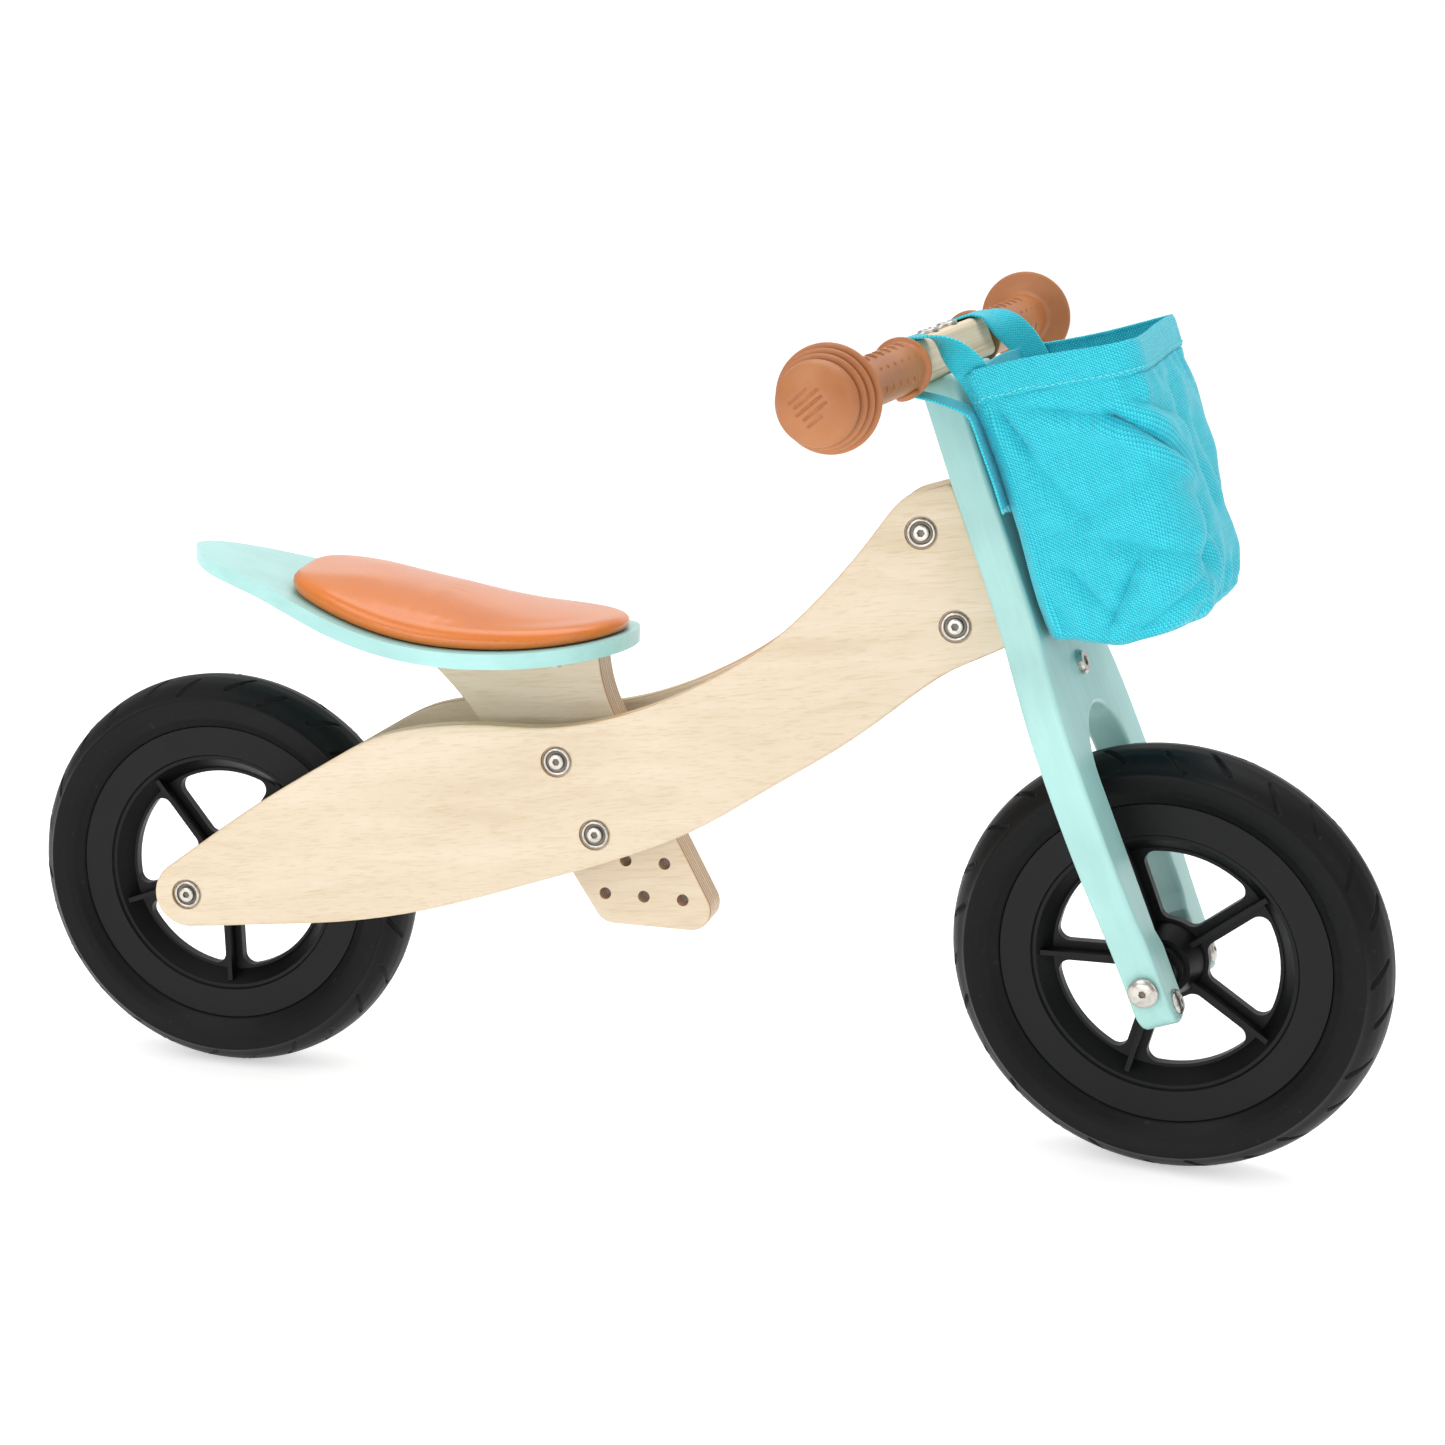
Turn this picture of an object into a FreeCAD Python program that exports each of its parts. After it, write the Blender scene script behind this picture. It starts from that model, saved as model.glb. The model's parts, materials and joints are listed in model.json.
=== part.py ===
import FreeCAD, Part
import math
import os

# A child's wooden balance bike in millimetres.
# +X is forwards, +Y is the rider's left, +Z is up; the origin lies on the floor, midway
# between the two axles.
#
# Three working frames are used:
#   axle frame     rear axle at the origin, X forwards, Z up (frame, seat and rear wheel)
#   neutral frame  front axle at the origin, Z along the steering pin (head block)
#   steered frame  the neutral frame turned about the steering pin (fork and all it carries)

Vector = FreeCAD.Vector
Rotation = FreeCAD.Rotation
Placement = FreeCAD.Placement

DIMENSIONS = [
    ("wheel_radius", 125.0, "crown of the tyre"),
    ("wheelbase", 582.0, "rear axle to front axle"),
    ("rake_angle", 22.0, "steering pin from vertical, degrees"),
    ("steer_angle", -7.8, "fork turned to the right at rest, degrees"),
    ("pin_offset", 22.5, "steering pin behind the front axle"),
    ("panel_ply", 12.0, "plywood of the two frame panels"),
    ("panel_rear_reach", 63.0, "outer panel face from the middle at the rear axle"),
    ("panel_head_reach", 20.5, "outer panel face from the middle at the head"),
    ("panel_head_start", 425.0, "where the panels turn parallel, ahead of the rear axle"),
    ("panel_bend_radius", 320.0, "plan radius of that turn"),
    ("panel_edge", 2.0, "rounding of the panel edges"),
    ("spot_radius", 9.5, "spot face round each frame bolt"),
    ("spot_sink", 2.0, "depth of that spot face"),
    ("axle_radius", 4.0, "wheel axles and steering pin"),
    ("bolt_radius", 3.5, "frame bolts"),
    ("small_bolt_radius", 3.0, "fork and handlebar bolts"),
    ("head_cap_radius", 8.3, "round bolt head"),
    ("head_cap_height", 3.5, "round bolt head"),
    ("socket_radius", 3.1, "corner radius of the hexagon socket"),
    ("socket_sink", 2.2, "depth of the hexagon socket"),
    ("post_ply", 24.0, "thickness of the seat post"),
    ("post_hole_radius", 3.65, "adjustment holes in the seat post"),
    ("hole_pitch", 24.3, "pitch of the adjustment holes along a column"),
    ("hole_column_gap", 24.0, "pitch of the adjustment holes along a row"),
    ("column_angle", 28.2, "lean of a hole column, degrees"),
    ("first_hole_ahead", 275.0, "lowest middle hole ahead of the rear axle"),
    ("first_hole_above", 9.5, "lowest middle hole above the rear axle"),
    ("washer_depth", 1.4, "washers beside the seat post"),
    ("side_gap", 0.05, "clearance on each side of those washers"),
    ("spacer_radius", 9.0, "spacer tubes on the frame bolts"),
    ("seat_ply", 9.0, "bent plywood of the seat base"),
    ("board_ply", 21.0, "fork board"),
    ("board_edge", 2.5, "rounding of the fork board"),
    ("fork_top", 353.0, "top of the fork board above the front axle"),
    ("slot_half", 35.0, "half width of the slot for the front wheel"),
    ("slot_centre", 116.0, "centre of the arch that closes the slot"),
    ("leg_half", 30.0, "inner half width at the fork ends"),
    ("leg_outer", 59.0, "outer half width at the fork ends"),
    ("yoke_plate", 4.0, "steel of the steering yokes"),
    ("yoke_back", 3.0, "yoke plate against the fork board"),
    ("block_half", 8.5, "half thickness of the head block"),
    ("block_low", 214.0, "lower face of the head block above the front axle"),
    ("block_high", 286.0, "upper face of the head block above the front axle"),
    ("bush_radius", 6.0, "outside of the steering bushes"),
    ("flange_radius", 7.5, "flange of the steering bushes"),
    ("running_gap", 0.05, "radial clearance of every running fit"),
    ("bar_side", 24.0, "square middle of the handlebar"),
    ("bar_end_radius", 10.5, "turned ends of the handlebar"),
    ("bar_back", 6.0, "handlebar axis behind the front axle plane"),
    ("bar_square_half", 64.0, "half length of the square middle"),
    ("bar_half", 200.0, "half length of the handlebar"),
    ("bag_wall", 2.5, "fabric wall of the bag with its lining"),
    ("strap_wide", 18.0, "webbing of the bag straps"),
    ("strap_thick", 2.0, "webbing of the bag straps"),
    ("strap_centre", 55.0, "bag straps from the middle"),
    ("rim_seat_radius", 93.75, "where the tyre sits on the rim"),
    ("rim_half", 14.0, "half width of the rim"),
    ("hub_half", 24.0, "half width of the hub"),
    ("bearing_radius", 11.0, "outside of the wheel bearings"),
    ("bearing_depth", 7.0, "width of each wheel bearing"),
    ("spoke_wide", 12.0, "spoke web"),
    ("spoke_rib", 3.0, "rib on each spoke"),
    ("rear_spoke_turn", -15.5, "rear wheel about its axle at rest, degrees"),
    ("front_spoke_turn", 17.0, "front wheel about its axle at rest, degrees"),
    ("window_corner", 6.5, "rounded corners of the openings between the spokes"),
    ("screw_radius", 2.0, "seat screws"),
    ("screw_length", 9.0, "seat screws"),
]

document = FreeCAD.newDocument("BalanceBike")
sheet = document.addObject("Spreadsheet::Sheet", "Dims")
for row, (alias, number, remark) in enumerate(DIMENSIONS, start=1):
    sheet.set("A%d" % row, remark)
    sheet.set("B%d" % row, repr(number))
    sheet.setAlias("B%d" % row, alias)
document.recompute()


def size(alias):
    """The number in the sheet cell with this alias."""
    return float(getattr(sheet, alias))


def bind(thing, **expressions):
    """Ties each named property to an expression of sheet aliases."""
    for name, expression in expressions.items():
        thing.setExpression(name, expression)
    return thing


nodes = []


def keep(thing, label, where=None):
    """Gives a finished sub-part its own label and place, and lists it for export."""
    thing.Label = label
    if where is not None:
        thing.Placement = where
    nodes.append(thing)
    return thing


# ---------------------------------------------------------------- frames and directions

PIN_X = -size("pin_offset")
AXLE_FRAME = Placement(Vector(-size("wheelbase") / 2, 0, size("wheel_radius")), Rotation())
RAKE = Placement(
    Vector(size("wheelbase") / 2, 0, size("wheel_radius")),
    Rotation(Vector(0, 1, 0), -size("rake_angle")),
)
TURN = Placement(
    Vector(0, 0, 0),
    Rotation(Vector(0, 0, 1), size("steer_angle")),
    Vector(PIN_X, 0, 0),
)
NEUTRAL_FRAME = RAKE
STEERED_FRAME = RAKE.multiply(TURN)
FORWARD = Vector(1, 0, 0)
LEFT = Vector(0, 1, 0)
UP = Vector(0, 0, 1)


def aim(direction, position):
    """Stands something built along Z at a position, pointing along a direction."""
    return Placement(position, Rotation(UP, direction))


def to_axle_frame(forward, up):
    """A point of the neutral frame's middle plane, in the axle frame."""
    rake = math.radians(size("rake_angle"))
    ahead = size("wheelbase") + forward * math.cos(rake) - up * math.sin(rake)
    above = forward * math.sin(rake) + up * math.cos(rake)
    return Vector(ahead, 0, above)


# ---------------------------------------------------------------- building blocks

def body(name):
    return document.addObject("PartDesign::Body", name)


def sketch(owner, name, role, geometry, lift=0.0):
    """A sketch on one of the body's own origin planes, lifted along its normal."""
    plane = next(item for item in owner.Origin.OriginFeatures if item.Role == role)
    drawn = owner.newObject("Sketcher::SketchObject", name)
    drawn.AttachmentSupport = [(plane, "")]
    drawn.MapMode = "FlatFace"
    drawn.AttachmentOffset = Placement(Vector(0, 0, lift), Rotation())
    for piece in geometry:
        drawn.addGeometry(piece, False)
    return drawn


def line(start, end):
    return Part.LineSegment(Vector(*start, 0), Vector(*end, 0))


def curve(points, start=None, finish=None):
    """A smooth curve through the points, with the end directions where they are given."""
    smooth = Part.BSplineCurve()
    places = [Vector(*point, 0) for point in points]
    if start is None:
        smooth.interpolate(places)
    else:
        ends = {"InitialTangent": Vector(*start, 0), "FinalTangent": Vector(*finish, 0)}
        smooth.interpolate(Points=places, **ends)
    return smooth


def arc(start, middle, end):
    return Part.Arc(Vector(*start, 0), Vector(*middle, 0), Vector(*end, 0))


def toward(start, end):
    """Unit direction from one point to another."""
    run = (end[0] - start[0], end[1] - start[1])
    length = math.hypot(*run)
    return (run[0] / length, run[1] / length)


def rounded_corner(before, corner, after, radius):
    """Start, middle and end of the arc that rounds a corner between two straight runs."""
    back = toward(corner, before)
    ahead = toward(corner, after)
    half = math.acos(back[0] * ahead[0] + back[1] * ahead[1]) / 2
    reach = radius / math.tan(half)
    depth = radius / math.sin(half) - radius
    inward = toward((0, 0), (back[0] + ahead[0], back[1] + ahead[1]))
    return (
        (corner[0] + back[0] * reach, corner[1] + back[1] * reach),
        (corner[0] + inward[0] * depth, corner[1] + inward[1] * depth),
        (corner[0] + ahead[0] * reach, corner[1] + ahead[1] * reach),
    )


def on_circle(radius, degrees):
    angle = math.radians(degrees)
    return (radius * math.cos(angle), radius * math.sin(angle))


def polygon(points):
    return [line(a, b) for a, b in zip(points, points[1:] + points[:1])]


def rounded_rectangle(low, high, radius):
    """Four lines and four corner arcs between two opposite corners."""
    inset = radius * (1 - math.sqrt(0.5))
    x0, y0 = low
    x1, y1 = high
    return [
        line((x0 + radius, y0), (x1 - radius, y0)),
        arc((x1 - radius, y0), (x1 - inset, y0 + inset), (x1, y0 + radius)),
        line((x1, y0 + radius), (x1, y1 - radius)),
        arc((x1, y1 - radius), (x1 - inset, y1 - inset), (x1 - radius, y1)),
        line((x1 - radius, y1), (x0 + radius, y1)),
        arc((x0 + radius, y1), (x0 + inset, y1 - inset), (x0, y1 - radius)),
        line((x0, y1 - radius), (x0, y0 + radius)),
        arc((x0, y0 + radius), (x0 + inset, y0 + inset), (x0 + radius, y0)),
    ]


def pad(owner, profile, length, symmetric=False, reverse=False):
    """Pads a profile by an expression; an XZ sketch points towards -Y unless reversed."""
    feature = owner.newObject("PartDesign::Pad", profile.Name + "_pad")
    feature.Profile = profile
    feature.setExpression("Length", length)
    feature.SideType = "Symmetric" if symmetric else "One side"
    feature.Reversed = reverse
    return feature


def cut_through(owner, profile):
    """Cuts a profile right through the body, both ways from its sketch."""
    document.recompute()
    before = owner.Shape.Volume
    feature = owner.newObject("PartDesign::Pocket", profile.Name + "_cut")
    feature.Profile = profile
    feature.Type = "ThroughAll"
    feature.SideType = "Symmetric"
    document.recompute()
    if not owner.Shape.Volume < before - 1:
        raise RuntimeError(feature.Name + " removes nothing")
    return feature


def revolve(owner, profile, axis="H_Axis"):
    feature = owner.newObject("PartDesign::Revolution", profile.Name + "_turn")
    feature.Profile = profile
    feature.ReferenceAxis = (profile, [axis])
    feature.Angle = 360
    return feature


def edges_where(shape, test):
    """Names of the edges whose two ends and middle all pass the test."""
    names = []
    for number, edge in enumerate(shape.Edges, start=1):
        first, last = edge.ParameterRange
        spots = [edge.valueAt(first + (last - first) * share) for share in (0, 0.5, 1)]
        if all(test(spot) for spot in spots):
            names.append("Edge%d" % number)
    return names


def round_edges(owner, feature, radius, test):
    """Rounds the chosen edges of a body's last feature by an expression."""
    document.recompute()
    rounding = owner.newObject("PartDesign::Fillet", feature.Name + "_edge")
    rounding.Base = (feature, edges_where(feature.Shape, test))
    rounding.setExpression("Radius", radius)
    document.recompute()
    return rounding


def cylinder(name, radius, height, where):
    """A cylinder along the placement's Z, sized by two expressions."""
    thing = document.addObject("Part::Cylinder", name)
    bind(thing, Radius=radius, Height=height)
    thing.Placement = where
    return thing


def box(name, length, width, height, corner):
    thing = document.addObject("Part::Box", name)
    bind(thing, Length=length, Width=width, Height=height)
    thing.Placement = Placement(corner, Rotation())
    return thing


def fuse(name, pieces):
    thing = document.addObject("Part::MultiFuse", name)
    thing.Shapes = pieces
    return thing


def compound(name, pieces):
    thing = document.addObject("Part::Compound", name)
    thing.Links = pieces
    return thing


def cut(name, base, tools):
    thing = document.addObject("Part::Cut", name)
    thing.Base = base
    thing.Tool = tools[0] if len(tools) == 1 else fuse(name + "_tools", tools)
    return thing


def ring(name, outer, inner, height, where):
    """A tube along the placement's Z, from three expressions."""
    wall = cylinder(name + "_wall", outer, height, Placement())
    hole = cylinder(name + "_hole", inner, height, Placement())
    thing = cut(name, wall, [hole])
    thing.Placement = where
    return thing


def bolt(name, shank, length, where, head="Dims.head_cap_radius"):
    """A round-headed socket bolt: the head rises from Z = 0 and the shank hangs below."""
    height = "Dims.head_cap_height"
    stem = cylinder(name + "_stem", shank, length, Placement())
    bind(stem, **{"Placement.Base.z": "-(%s)" % length})
    rim = cylinder(name + "_rim", head, "%s * 0.6" % height, Placement())
    crown = document.addObject("Part::Cone", name + "_crown")
    bind(crown, Radius1=head, Radius2="%s * 0.86" % head, Height="%s * 0.4" % height)
    bind(crown, **{"Placement.Base.z": "%s * 0.6" % height})
    socket = document.addObject("Part::Prism", name + "_socket")
    socket.Polygon = 6
    bind(socket, Circumradius="Dims.socket_radius", Height="Dims.socket_sink + 1")
    bind(socket, **{"Placement.Base.z": "%s - Dims.socket_sink" % height})
    thing = cut(name, fuse(name + "_blank", [stem, rim, crown]), [socket])
    thing.Placement = where
    return thing


def hexagon_nut(name, across, bore, height, where):
    blank = document.addObject("Part::Prism", name + "_blank")
    blank.Polygon = 6
    bind(blank, Circumradius=across, Height=height)
    hole = cylinder(name + "_thread", bore, height, Placement())
    thing = cut(name, blank, [hole])
    thing.Placement = where
    return thing


# ---------------------------------------------------------------- frame panels

PANEL_SLOPE = (size("panel_rear_reach") - size("panel_head_reach")) / size("panel_head_start")
REAR_ROUND = 20.5
REAR_TOP_ANGLE = 127.0
REAR_LOW_ANGLE = -86.0
PANEL_TOP = [
    on_circle(REAR_ROUND, REAR_TOP_ANGLE), (54, 65), (92, 89), (118, 103.5), (150, 112),
    (184, 115), (218, 115), (251, 120), (284, 131), (313, 145), (339, 161), (360, 178),
    (382, 201), (400, 223), (415, 244), (432, 260),
]
PANEL_BOTTOM = [
    (462, 163.5), (428, 139), (394, 112), (356, 87), (314, 60), (263, 37),
    (217, 21), (144, -2), (83, -13), (40, -17), on_circle(REAR_ROUND, REAR_LOW_ANGLE),
]
PANEL_NOSE_TOP = (453, 266.5)
PANEL_NOSE_LOW = (488, 176.5)


def panel_outer(ahead):
    """Distance of the outer panel face from the bike's middle plane."""
    return max(size("panel_head_reach"), size("panel_rear_reach") - PANEL_SLOPE * ahead)


def panel_inner(ahead):
    return panel_outer(ahead) - size("panel_ply")


def hole_place(column, step):
    """Centre of one adjustment hole of the seat post, in the axle frame."""
    lean = math.radians(size("column_angle"))
    along = size("hole_pitch") * step
    return Vector(
        size("first_hole_ahead") + size("hole_column_gap") * column - along * math.sin(lean),
        0,
        size("first_hole_above") + along * math.cos(lean),
    )


REAR_AXLE = Vector(0, 0, 0)
SEAT_BOLTS = [hole_place(0, 2), hole_place(0, 4)]
HEAD_BOLT_BACK = -46.0
HEAD_BOLT_HEIGHTS = (275.0, 219.0)
HEAD_BOLTS = [to_axle_frame(HEAD_BOLT_BACK, height) for height in HEAD_BOLT_HEIGHTS]


def plan_edge(inset):
    """Plan line of a panel face as a slope, a tangent bend and a straight run."""
    bend = size("panel_bend_radius")
    angle = math.atan(PANEL_SLOPE)
    reach = bend * math.tan(angle / 2)
    corner = size("panel_head_start")
    near = size("panel_head_reach") - inset
    start = (corner - reach * math.cos(angle), near + reach * math.sin(angle))
    middle = (corner + reach - bend * math.sin(angle / 2), near + bend * (1 - math.cos(angle / 2)))
    end = (corner + reach, near)
    rear = (-60, near + PANEL_SLOPE * (corner + 60))
    return [rear, start, middle, end, (540, near)]


def waste_outline(inset, far, side):
    """Everything beyond one panel face, from the plan line out to a far edge."""
    rear, start, middle, end, front = [(x, side * y) for x, y in plan_edge(inset)]
    return [
        line(rear, start),
        arc(start, middle, end),
        line(end, front),
        line(front, (front[0], side * far)),
        line((front[0], side * far), (rear[0], side * far)),
        line((rear[0], side * far), rear),
    ]


def frame_panel(label, side):
    """One splayed panel; side is -1 for the rider's right and +1 for the left."""
    panel = body(label + "_body")
    top_end = PANEL_TOP[-1]
    low_start = PANEL_BOTTOM[0]
    upper = rounded_corner(top_end, PANEL_NOSE_TOP, PANEL_NOSE_LOW, 5)
    lower = rounded_corner(PANEL_NOSE_TOP, PANEL_NOSE_LOW, low_start, 5)
    rear_up = on_circle(1, REAR_TOP_ANGLE - 90)
    rear_back = on_circle(1, REAR_LOW_ANGLE - 90)
    outline = [
        arc(PANEL_BOTTOM[-1], (-REAR_ROUND, 0), PANEL_TOP[0]),
        curve(PANEL_TOP, rear_up, toward(top_end, PANEL_NOSE_TOP)),
        line(top_end, upper[0]),
        arc(*upper),
        line(upper[2], lower[0]),
        arc(*lower),
        line(lower[2], low_start),
        curve(PANEL_BOTTOM, toward(PANEL_NOSE_LOW, low_start), rear_back),
    ]
    side_view = sketch(panel, label + "_side", "XZ_Plane", outline)
    pad(panel, side_view, "Dims.panel_rear_reach + 10", reverse=side > 0)
    outer_waste = sketch(panel, label + "_outer", "XY_Plane", waste_outline(0, 200, side))
    cut_through(panel, outer_waste)
    ply = size("panel_ply")
    inner_waste = sketch(panel, label + "_inner", "XY_Plane", waste_outline(ply, -50, side))
    shaped = cut_through(panel, inner_waste)

    def on_a_face(spot):
        reach = abs(spot.y)
        plan = panel_outer(spot.x)
        return abs(reach - plan) < 1.2 or abs(reach - plan + ply) < 1.2

    round_edges(panel, shaped, "Dims.panel_edge", on_a_face)
    drills = []
    bores = [(REAR_AXLE, "Dims.axle_radius")]
    bores += [(spot, "Dims.bolt_radius") for spot in SEAT_BOLTS + HEAD_BOLTS]
    for number, (spot, radius) in enumerate(bores):
        start = spot + Vector(0, side * 2, 0)
        through = "Dims.panel_rear_reach + 20"
        name = "%s_bore%d" % (label, number)
        drills.append(cylinder(name, radius, through, aim(LEFT * side, start)))
        face = spot + Vector(0, side * (panel_outer(spot.x) - size("spot_sink")), 0)
        name = "%s_spot%d" % (label, number)
        drills.append(cylinder(name, "Dims.spot_radius", "20", aim(LEFT * side, face)))
    keep(cut(label + "_cut", panel, drills), label, AXLE_FRAME)


# ---------------------------------------------------------------- frame hardware

def head_place(spot, side):
    """Where a frame bolt head seats, in the axle frame."""
    return spot + Vector(0, side * (panel_outer(spot.x) - size("spot_sink")), 0)


def paired_bolts(label, spots, side, shank, inner_end):
    """Bolts from one side of the frame, each as long as its seat needs."""
    made = []
    for number, spot in enumerate(spots):
        seat = head_place(spot, side)
        length = "%.6f - (%s)" % (abs(seat.y), inner_end)
        made.append(bolt("%s%d" % (label, number), shank, length, aim(LEFT * side, seat)))
    keep(compound(label + "_set", made), label, AXLE_FRAME)


def seat_hardware():
    post_side = "Dims.post_ply / 2 + Dims.washer_depth + 2 * Dims.side_gap"
    paired_bolts("seat_clamp_bolts", SEAT_BOLTS, -1, "Dims.bolt_radius", post_side)
    paired_bolts("seat_clamp_nuts", SEAT_BOLTS, 1, "Dims.bolt_radius", post_side)
    spacers = []
    washers = []
    cores = []
    start = size("post_ply") / 2 + size("washer_depth") + 2 * size("side_gap")
    washer_start = size("post_ply") / 2 + size("side_gap")
    for number, spot in enumerate(SEAT_BOLTS):
        for side in (-1, 1):
            name = "seat_spacer%d%d" % (number, side + 1)
            depth = "%.6f" % (panel_inner(spot.x + size("spacer_radius")) - start)
            place = aim(LEFT * side, spot + Vector(0, side * start, 0))
            spacers.append(ring(name, "Dims.spacer_radius", "Dims.bolt_radius", depth, place))
            name = "seat_washer%d%d" % (number, side + 1)
            place = aim(LEFT * side, spot + Vector(0, side * washer_start, 0))
            hole = "Dims.post_hole_radius"
            washers.append(ring(name, "Dims.spacer_radius - 1", hole, "Dims.washer_depth", place))
        rear = spot - Vector(0, size("post_ply") / 2, 0)
        name = "seat_core%d" % number
        cores.append(cylinder(name, "Dims.bolt_radius", "Dims.post_ply", aim(LEFT, rear)))
    keep(compound("seat_spacer_set", spacers), "seat_spacers", AXLE_FRAME)
    keep(compound("seat_washer_set", washers), "seat_post_washers", AXLE_FRAME)
    keep(compound("seat_core_set", cores), "seat_bolt_cores", AXLE_FRAME)


def axle_set(prefix, spacer_radius, spacer_end, where, seat_reach):
    """A wheel axle in two halves that screw together, and the tubes beside the hub."""
    bolt_place = aim(-LEFT, Vector(0, -seat_reach, 0))
    nut_place = aim(LEFT, Vector(0, seat_reach, 0))
    long_half = "%.6f + Dims.hub_half" % seat_reach
    short_half = "%.6f - Dims.hub_half" % seat_reach
    radius = "Dims.axle_radius"
    keep(bolt(prefix + "_bolt", radius, long_half, Placement()), prefix + "_axle_bolt",
         where.multiply(bolt_place))
    keep(bolt(prefix + "_nut", radius, short_half, Placement()), prefix + "_axle_nut",
         where.multiply(nut_place))
    start = size("hub_half") + 0.2
    depth = "%.6f" % (spacer_end - start)
    tubes = []
    for side in (-1, 1):
        name = "%s_tube%d" % (prefix, side + 1)
        place = aim(LEFT * side, Vector(0, side * start, 0))
        tubes.append(ring(name, spacer_radius, radius, depth, place))
    keep(compound(prefix + "_tubes", tubes), prefix + "_axle_spacers", where)


def head_block():
    """Wooden block between the panels that carries the steering pin in two bushes."""
    block = body("head_block_body")
    nose = size("block_half")
    low = size("block_low")
    high = size("block_high")
    back = -60.0
    shoulder = PIN_X - 9.5
    tall = 6.0
    side_view = [
        (back, low - tall), (shoulder, low - tall), (shoulder, low), (PIN_X + nose, low),
        (PIN_X + nose, high), (shoulder, high), (shoulder, high + tall), (back, high + tall),
    ]
    drawn = sketch(block, "block_side", "XZ_Plane", polygon(side_view))
    pad(block, drawn, "2 * Dims.block_half", symmetric=True)
    plan = [
        line((PIN_X, nose), (PIN_X + 20, nose)),
        line((PIN_X + 20, nose), (PIN_X + 20, -nose)),
        line((PIN_X + 20, -nose), (PIN_X, -nose)),
        arc((PIN_X, -nose), (PIN_X + nose, 0), (PIN_X, nose)),
    ]
    cut_through(block, sketch(block, "block_nose", "XY_Plane", plan))
    drills = [cylinder("block_bore", "Dims.bush_radius", "400", aim(UP, Vector(PIN_X, 0, 0)))]
    for number, height in enumerate(HEAD_BOLT_HEIGHTS):
        place = aim(LEFT, Vector(HEAD_BOLT_BACK, -20, height))
        drills.append(cylinder("block_drill%d" % number, "Dims.bolt_radius", "40", place))
    keep(cut("head_block_cut", block, drills), "head_block", NEUTRAL_FRAME)
    bushes = []
    for number, (height, way) in enumerate(((low, 1), (high, -1))):
        sleeve = cylinder("bush_sleeve%d" % number, "Dims.bush_radius", "15", Placement())
        flange_place = Placement(Vector(0, 0, -0.95), Rotation())
        flange = cylinder("bush_flange%d" % number, "Dims.flange_radius", "0.95", flange_place)
        below = Placement(Vector(0, 0, -5), Rotation())
        clearance = "Dims.axle_radius + Dims.running_gap"
        hole = cylinder("bush_hole%d" % number, clearance, "30", below)
        whole = cut("bush%d" % number, fuse("bush_blank%d" % number, [sleeve, flange]), [hole])
        whole.Placement = aim(UP * way, Vector(PIN_X, 0, height))
        bushes.append(whole)
    keep(compound("bush_set", bushes), "steering_bushes", NEUTRAL_FRAME)


# ---------------------------------------------------------------- seat

SEAT_LOW = [
    (-22, 200), (0, 194), (41, 184), (99, 167), (149, 156), (190, 153.6), (230, 155.3), (268, 160),
]


def offset_points(points, distance):
    """The points pushed square to the line through their neighbours."""
    moved = []
    for number, (x, y) in enumerate(points):
        before = points[max(number - 1, 0)]
        after = points[min(number + 1, len(points) - 1)]
        run = (after[0] - before[0], after[1] - before[1])
        length = math.hypot(*run)
        moved.append((x - run[1] / length * distance, y + run[0] / length * distance))
    return moved


def strip_outline(lower, upper):
    return [
        curve(lower),
        line(lower[-1], upper[-1]),
        curve(list(reversed(upper))),
        line(upper[0], lower[0]),
    ]


def plan_closed(points):
    """One periodic curve through a left half and its mirror image."""
    right = [(x, -y) for x, y in reversed(points[1:-1])]
    smooth = Part.BSplineCurve()
    smooth.interpolate([Vector(x, y, 0) for x, y in points + right], True)
    return [smooth]


BASE_PLAN = [(-15, 0), (-9, 16), (6, 30), (38, 44.5), (98, 69.5), (150, 75), (196, 70), (237, 53),
             (259, 28), (265, 0)]
CUSHION_PLAN = [(57, 0), (62, 36), (98, 61), (150, 68), (194, 63), (233, 47), (254, 23), (260, 0)]
CUSHION_RISE = [1.0, 19.5, 20.5, 19.5, 18.5, 17.5]
# Ahead of the rear axle, out from the middle, and the height where the head seats.
SEAT_SCREWS = [(110, 42, 162.8), (226, 34, 154.4)]


def screw_places(direction):
    """Each seat screw's name and the place where its head meets the seat base."""
    places = []
    for number, (ahead, aside, low) in enumerate(SEAT_SCREWS):
        for side in (-1, 1):
            name = "%d%d" % (number, side + 1)
            places.append((name, aim(direction, Vector(ahead, aside * side, low))))
    return places


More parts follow.
